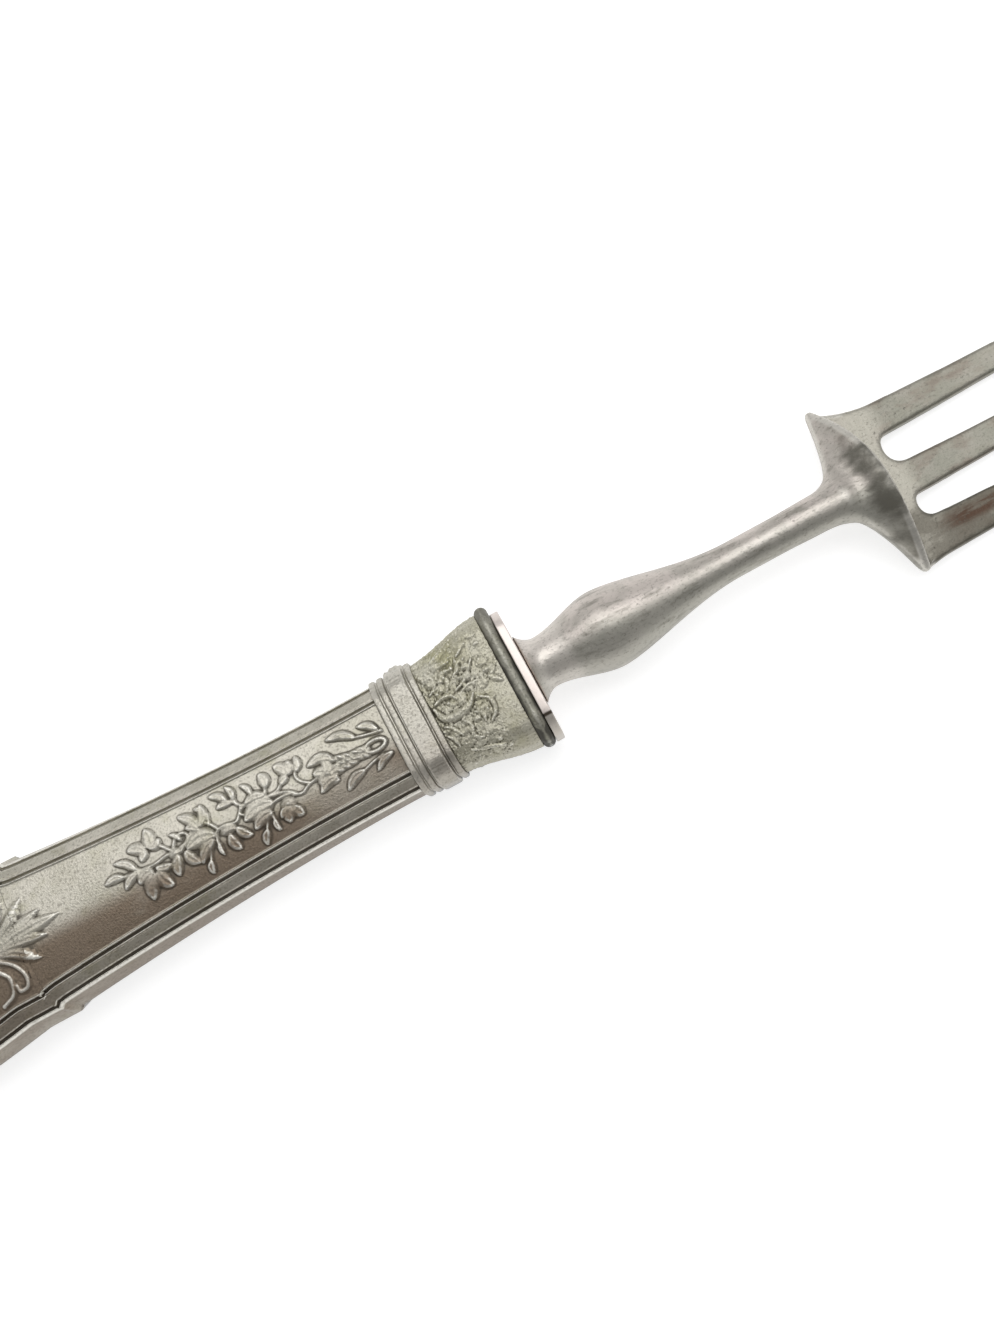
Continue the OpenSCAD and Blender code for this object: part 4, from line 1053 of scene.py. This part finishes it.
def fork():
    both = bmesh.new()
    both.from_mesh(forged_body())
    both.from_mesh(bent_comb())
    mesh = bpy.data.meshes.new("fork")
    both.to_mesh(mesh)
    both.free()
    mesh = remade(mesh, skin_size)
    mesh.name = "fork"
    points = points_of(mesh)
    edges = np.zeros(len(mesh.edges) * 2, np.int32)
    mesh.edges.foreach_get("vertices", edges)
    edges = edges.reshape(-1, 2)
    points = relaxed(points, edges, 5)
    p = points[:, 0] - foot_x
    turned = ease((flare_x - 1.0 - points[:, 0]) / 6.0)
    radius = np.hypot(points[:, 1], points[:, 2] - axis_z)
    on_skin = (turned > 0) & (radius > 1.5)
    factor = np.where(on_skin, lerp(1.0, shank_radius(p) / np.maximum(radius, 1.0), turned), 1.0)
    factor = np.where(p < 0.15, 1.0, factor)
    points[:, 1] *= factor
    points[:, 2] = axis_z + (points[:, 2] - axis_z) * factor
    points = np.clip(points, iron_low, iron_high)
    mesh.vertices.foreach_set("co", (points * MM).ravel())
    mesh.update()
    normals = np.zeros(len(points) * 3, np.float32)
    mesh.vertex_normals.foreach_get("vector", normals)
    sunk = ((relaxed(points, edges, 14) - points) * normals.reshape(-1, 3)).sum(axis=1)
    hollow = np.clip(sunk / 0.06, -1.0, 1.0).astype(np.float32)
    mesh.attributes.new("hollow", "FLOAT", "POINT").data.foreach_set("value", hollow)
    # Painted shade on the flare just behind the crest, on its upper part.
    across = np.clip(points[:, 1] / ear_half_span, -1.0, 1.0)
    behind = ear_x + crest_t + crest_bow * (1 - across ** 2) - ear_skew * across * np.abs(across) - points[:, 0]
    crest_shade = ease(behind / 0.4) * ease((6.2 + 1.6 * across - behind) / 4.2) * ease((across + 1.0) / 0.7)
    crest_shade *= ease((0.62 - across) / 0.4) * (points[:, 2] > axis_z - 2.0)
    mesh.attributes.new("crest_shade", "FLOAT", "POINT").data.foreach_set("value", crest_shade.astype(np.float32))
    mesh.shade_smooth()
    piece = bpy.data.objects.new("fork", mesh)
    bpy.context.scene.collection.objects.link(piece)
    return piece


def old_steel():
    """Polished once: pinkish and bright on the shank, grown dull and olive on shoulder and tines; painted shade on the
    shank's lower side, behind the crest and at the foot, and painted light at the neck.
    """
    material, tree, shader = new_material("old_steel")
    hollow = add(tree, "Attribute", {"attribute_name": "hollow"}).outputs["Fac"]
    x = add(tree, "SeparateXYZ", Vector=add(tree, "TexCoord").outputs["Object"]).outputs["X"]
    y = add(tree, "SeparateXYZ", Vector=add(tree, "TexCoord").outputs["Object"]).outputs["Y"]
    along = mottle(tree, 1.0, 6.0, stretch=(6.0, 1.0, 1.0))
    grain = mottle(tree, 0.3, 5.0, stretch=(1.6, 1.0, 1.0), shift=5.0)
    patches = mottle(tree, 5.0, 5.0, shift=2.0)
    blotches = mottle(tree, 2.6, 6.0, stretch=(2.2, 1.0, 1.0), shift=11.0)
    shank = tinted(tree, between(tree, patches, 0.38, 0.62), (0.46, 0.43, 0.39), (0.58, 0.53, 0.49))
    # Painted shade: the shank darker on its lower side, below y 0.6 mm.
    shank_lower_shade = between(tree, y, 0.6 * MM, -1.6 * MM, 0.0, 0.75)
    shank = tinted(tree, shank_lower_shade, shank, (0.36, 0.355, 0.31))
    shank = tinted(tree, between(tree, along, 0.5, 0.68, 0.0, 0.65), shank, (0.23, 0.22, 0.19))
    # Painted light: the neck lightened, fully within 1.5 mm of foot_x + 3.6 and fading out by 4 mm.
    from_neck = maths(tree, "ABSOLUTE", maths(tree, "SUBTRACT", x, (foot_x + 3.6) * MM))
    shank = tinted(tree, between(tree, from_neck, 4.0 * MM, 1.5 * MM, 0.0, 0.6), shank, (0.68, 0.64, 0.59))
    tines = tinted(tree, between(tree, patches, 0.36, 0.64), (0.26, 0.255, 0.215), (0.32, 0.305, 0.265))
    tines = tinted(tree, between(tree, along, 0.45, 0.65, 0.0, 0.3), tines, (0.25, 0.235, 0.19))
    tines = tinted(tree, between(tree, blotches, 0.48, 0.68, 0.0, 0.6), tines, (0.21, 0.17, 0.14))
    web = maths(tree, "ABSOLUTE", maths(tree, "SUBTRACT", x, (ear_x + 4.0) * MM))
    tines = tinted(tree, between(tree, web, 5.0 * MM, 2.0 * MM, 0.0, 0.75), tines, (0.44, 0.42, 0.365))
    right_tine = maths(tree, "MULTIPLY", between(tree, y, -4.4 * MM, -6.2 * MM), between(tree, blotches, 0.36, 0.5, 0.45, 0.75))
    tines = tinted(tree, right_tine, tines, (0.11, 0.10, 0.08))
    brown_line = maths(tree, "ABSOLUTE", maths(tree, "ADD", y, 9.3 * MM))
    brown_line = maths(tree, "MULTIPLY", between(tree, brown_line, 1.9 * MM, 0.5 * MM), between(tree, x, 56.0 * MM, 62.0 * MM))
    brown_line = maths(tree, "MULTIPLY", brown_line, between(tree, along, 0.4, 0.56, 0.3, 1.0))
    tines = tinted(tree, brown_line, tines, (0.085, 0.055, 0.04))
    ahead = maths(tree, "ADD", x, maths(tree, "MULTIPLY", maths(tree, "SUBTRACT", patches, 0.5), 6.0 * MM))
    dulled = between(tree, ahead, (ear_x - 3.0) * MM, (ear_x + 4.0) * MM)
    colour = tinted(tree, dulled, shank, tines)
    worn = between(tree, maths(tree, "MULTIPLY", hollow, -1.0), 0.35, 0.9, 0.0, 0.7)
    worn = maths(tree, "MULTIPLY", worn, between(tree, x, (ear_x + 4.0) * MM, (ear_x + 3.0) * MM))
    colour = tinted(tree, worn, colour, (0.62, 0.60, 0.55))
    pits = between(tree, mottle(tree, 0.45, 3.0, shift=9.0), 0.66, 0.76)
    grime_and_shade = maths(tree, "MULTIPLY", between(tree, hollow, 0.35, 1.0, 0.0, 0.7), between(tree, x, 8.0 * MM, 16.0 * MM))
    grime_and_shade = maths(tree, "MAXIMUM", grime_and_shade, maths(tree, "MULTIPLY", pits, 0.6))
    # Painted shade behind the crest, broken into blotches and laid on with the dirt.
    crest_shade = add(tree, "Attribute", {"attribute_name": "crest_shade"}).outputs["Fac"]
    crest_shade = maths(tree, "ADD", crest_shade, maths(tree, "MULTIPLY", maths(tree, "SUBTRACT", blotches, 0.5), 2.2))
    grime_and_shade = maths(tree, "MAXIMUM", grime_and_shade, between(tree, crest_shade, 0.2, 1.15, 0.0, 0.95))
    grime_and_shade = maths(tree, "MAXIMUM", grime_and_shade, between(tree, grain, 0.52, 0.7, 0.0, 0.45))
    colour = tinted(tree, grime_and_shade, colour, (0.09, 0.085, 0.068))
    # Painted shade, brown: within half a millimetre of the foot, where the shank meets the plate.
    foot_shade = between(tree, x, (foot_x + 0.55) * MM, (foot_x + 0.15) * MM, 0.0, 0.8)
    colour = tinted(tree, foot_shade, colour, (0.19, 0.12, 0.08))
    feed(tree, shader.inputs["Base Color"], colour)
    feed(tree, shader.inputs["Metallic"], between(tree, grime_and_shade, 0.0, 1.0, 1.0, 0.5))
    rough = between(tree, dulled, 0.0, 1.0, 0.37, 0.4)
    feed(tree, shader.inputs["Roughness"], maths(tree, "ADD", rough, maths(tree, "MULTIPLY", patches, 0.1)))
    turning = mottle(tree, 0.12, 2.0, stretch=(1.0, 8.0, 8.0), shift=6.0)
    bumped(tree, shader, (mottle(tree, 0.8, 5.0), 0.05), (grain, 0.025), (turning, 0.006), (pits, -0.03))
    return material


settle(fork(), "fork_iron", old_steel())

# Table, light and camera
# The fork lies on its back on a white table, in soft daylight from the left with a dim room behind the viewer.
# The camera stands nearly overhead, a little to the fork's right, as in the photograph.
table_size = 4.0
table_white = (0.58, 0.58, 0.58)
table_glow = 0.68
view_azimuth = np.radians(3.2)
view_height = np.radians(79.0)
view_roll = np.radians(-28.45)
view_distance = 166.0
view_at = Vector((-5.73, 3.0, 8.0))
photo_size = (994, 1325)
photo_focus = 1200.0


def white_table():
    """White to the eye and in reflections, with a soft shadow under the fork."""
    material, tree, shader = new_material("white_table")
    tree.nodes.remove(shader)
    rays = add(tree, "LightPath").outputs
    seen = maths(tree, "MAXIMUM", rays["Is Camera Ray"], rays["Is Glossy Ray"])
    seen = maths(tree, "MAXIMUM", seen, rays["Is Transmission Ray"])
    paper = add(tree, "BsdfDiffuse", Color=table_white)
    glow = add(tree, "Emission", Color=(1.0, 1.0, 1.0), Strength=maths(tree, "MULTIPLY", seen, table_glow))
    both = add(tree, "AddShader")
    feed(tree, both.inputs[0], paper.outputs[0])
    feed(tree, both.inputs[1], glow.outputs[0])
    feed(tree, tree.nodes["Material Output"].inputs["Surface"], both.outputs[0])
    return material


table_mesh = bpy.data.meshes.new("table")
edge = table_size / 2
table_mesh.from_pydata([(-edge, -edge, 0.0), (edge, -edge, 0.0), (edge, edge, 0.0), (-edge, edge, 0.0)], [], [(0, 1, 2, 3)])
table_mesh.materials.append(white_table())
table = bpy.data.objects.new("table", table_mesh)
bpy.context.scene.collection.objects.link(table)


def room_light():
    """A pale room: white near the horizon, softer above, dim where the viewer stands over the table."""
    world = bpy.data.worlds.new("room")
    world.use_nodes = True
    tree = world.node_tree
    sight = add(tree, "TexCoord").outputs["Generated"]
    apart = add(tree, "SeparateXYZ", Vector=sight).outputs
    height = apart["Z"]
    viewer = Vector((0.02, -0.14, 0.99)).normalized()
    facing = add(tree, "VectorMath", {"operation": "DOT_PRODUCT"})
    feed(tree, facing.inputs[0], sight)
    feed(tree, facing.inputs[1], viewer)
    dim = between(tree, facing.outputs["Value"], 0.93, 0.985, 1.0, 0.1)
    dim = maths(tree, "MULTIPLY", dim, between(tree, apart["Y"], -0.9, 0.1, 0.6, 1.0))
    level = between(tree, height, 0.05, 0.5, 1.0, 0.62)
    background = tree.nodes["Background"]
    feed(tree, background.inputs["Color"], (1.0, 1.0, 1.0))
    feed(tree, background.inputs["Strength"], maths(tree, "MULTIPLY", dim, level))
    return world


bpy.context.scene.world = room_light()
window = bpy.data.lights.new("window", "AREA")
window.shape = "RECTANGLE"
window.size = 1.3
window.size_y = 0.6
window.energy = 4.8
window_from = Vector((0.1, 0.27, 0.92))
window_lamp = bpy.data.objects.new("window", window)
window_lamp.matrix_world = Matrix.Translation(window_from) @ window_from.to_track_quat("Z", "Y").to_matrix().to_4x4()
bpy.context.scene.collection.objects.link(window_lamp)


def photo_camera():
    """The camera at the photograph's place, with its tilt round the line of sight."""
    back = Vector((np.cos(view_height) * np.sin(view_azimuth), -np.cos(view_height) * np.cos(view_azimuth), np.sin(view_height)))
    level = (-back).cross(Vector((0.0, 1.0, 0.0))).normalized()
    rise = level.cross(-back)
    right = np.cos(view_roll) * level + np.sin(view_roll) * rise
    up = -np.sin(view_roll) * level + np.cos(view_roll) * rise
    data = bpy.data.cameras.new("photo_camera")
    data.sensor_width = 36.0
    data.lens = photo_focus * data.sensor_width / max(photo_size)
    data.clip_start = 10.0 * MM
    camera = bpy.data.objects.new("photo_camera", data)
    place = (view_at + back * view_distance) * MM
    camera.matrix_world = Matrix((right, up, back)).transposed().to_4x4()
    camera.location = place
    bpy.context.scene.collection.objects.link(camera)
    return camera


bpy.context.scene.camera = photo_camera()
bpy.context.scene.view_settings.view_transform = "Standard"


def plain(corners):
    return [[float(value) for value in corner] for corner in corners]
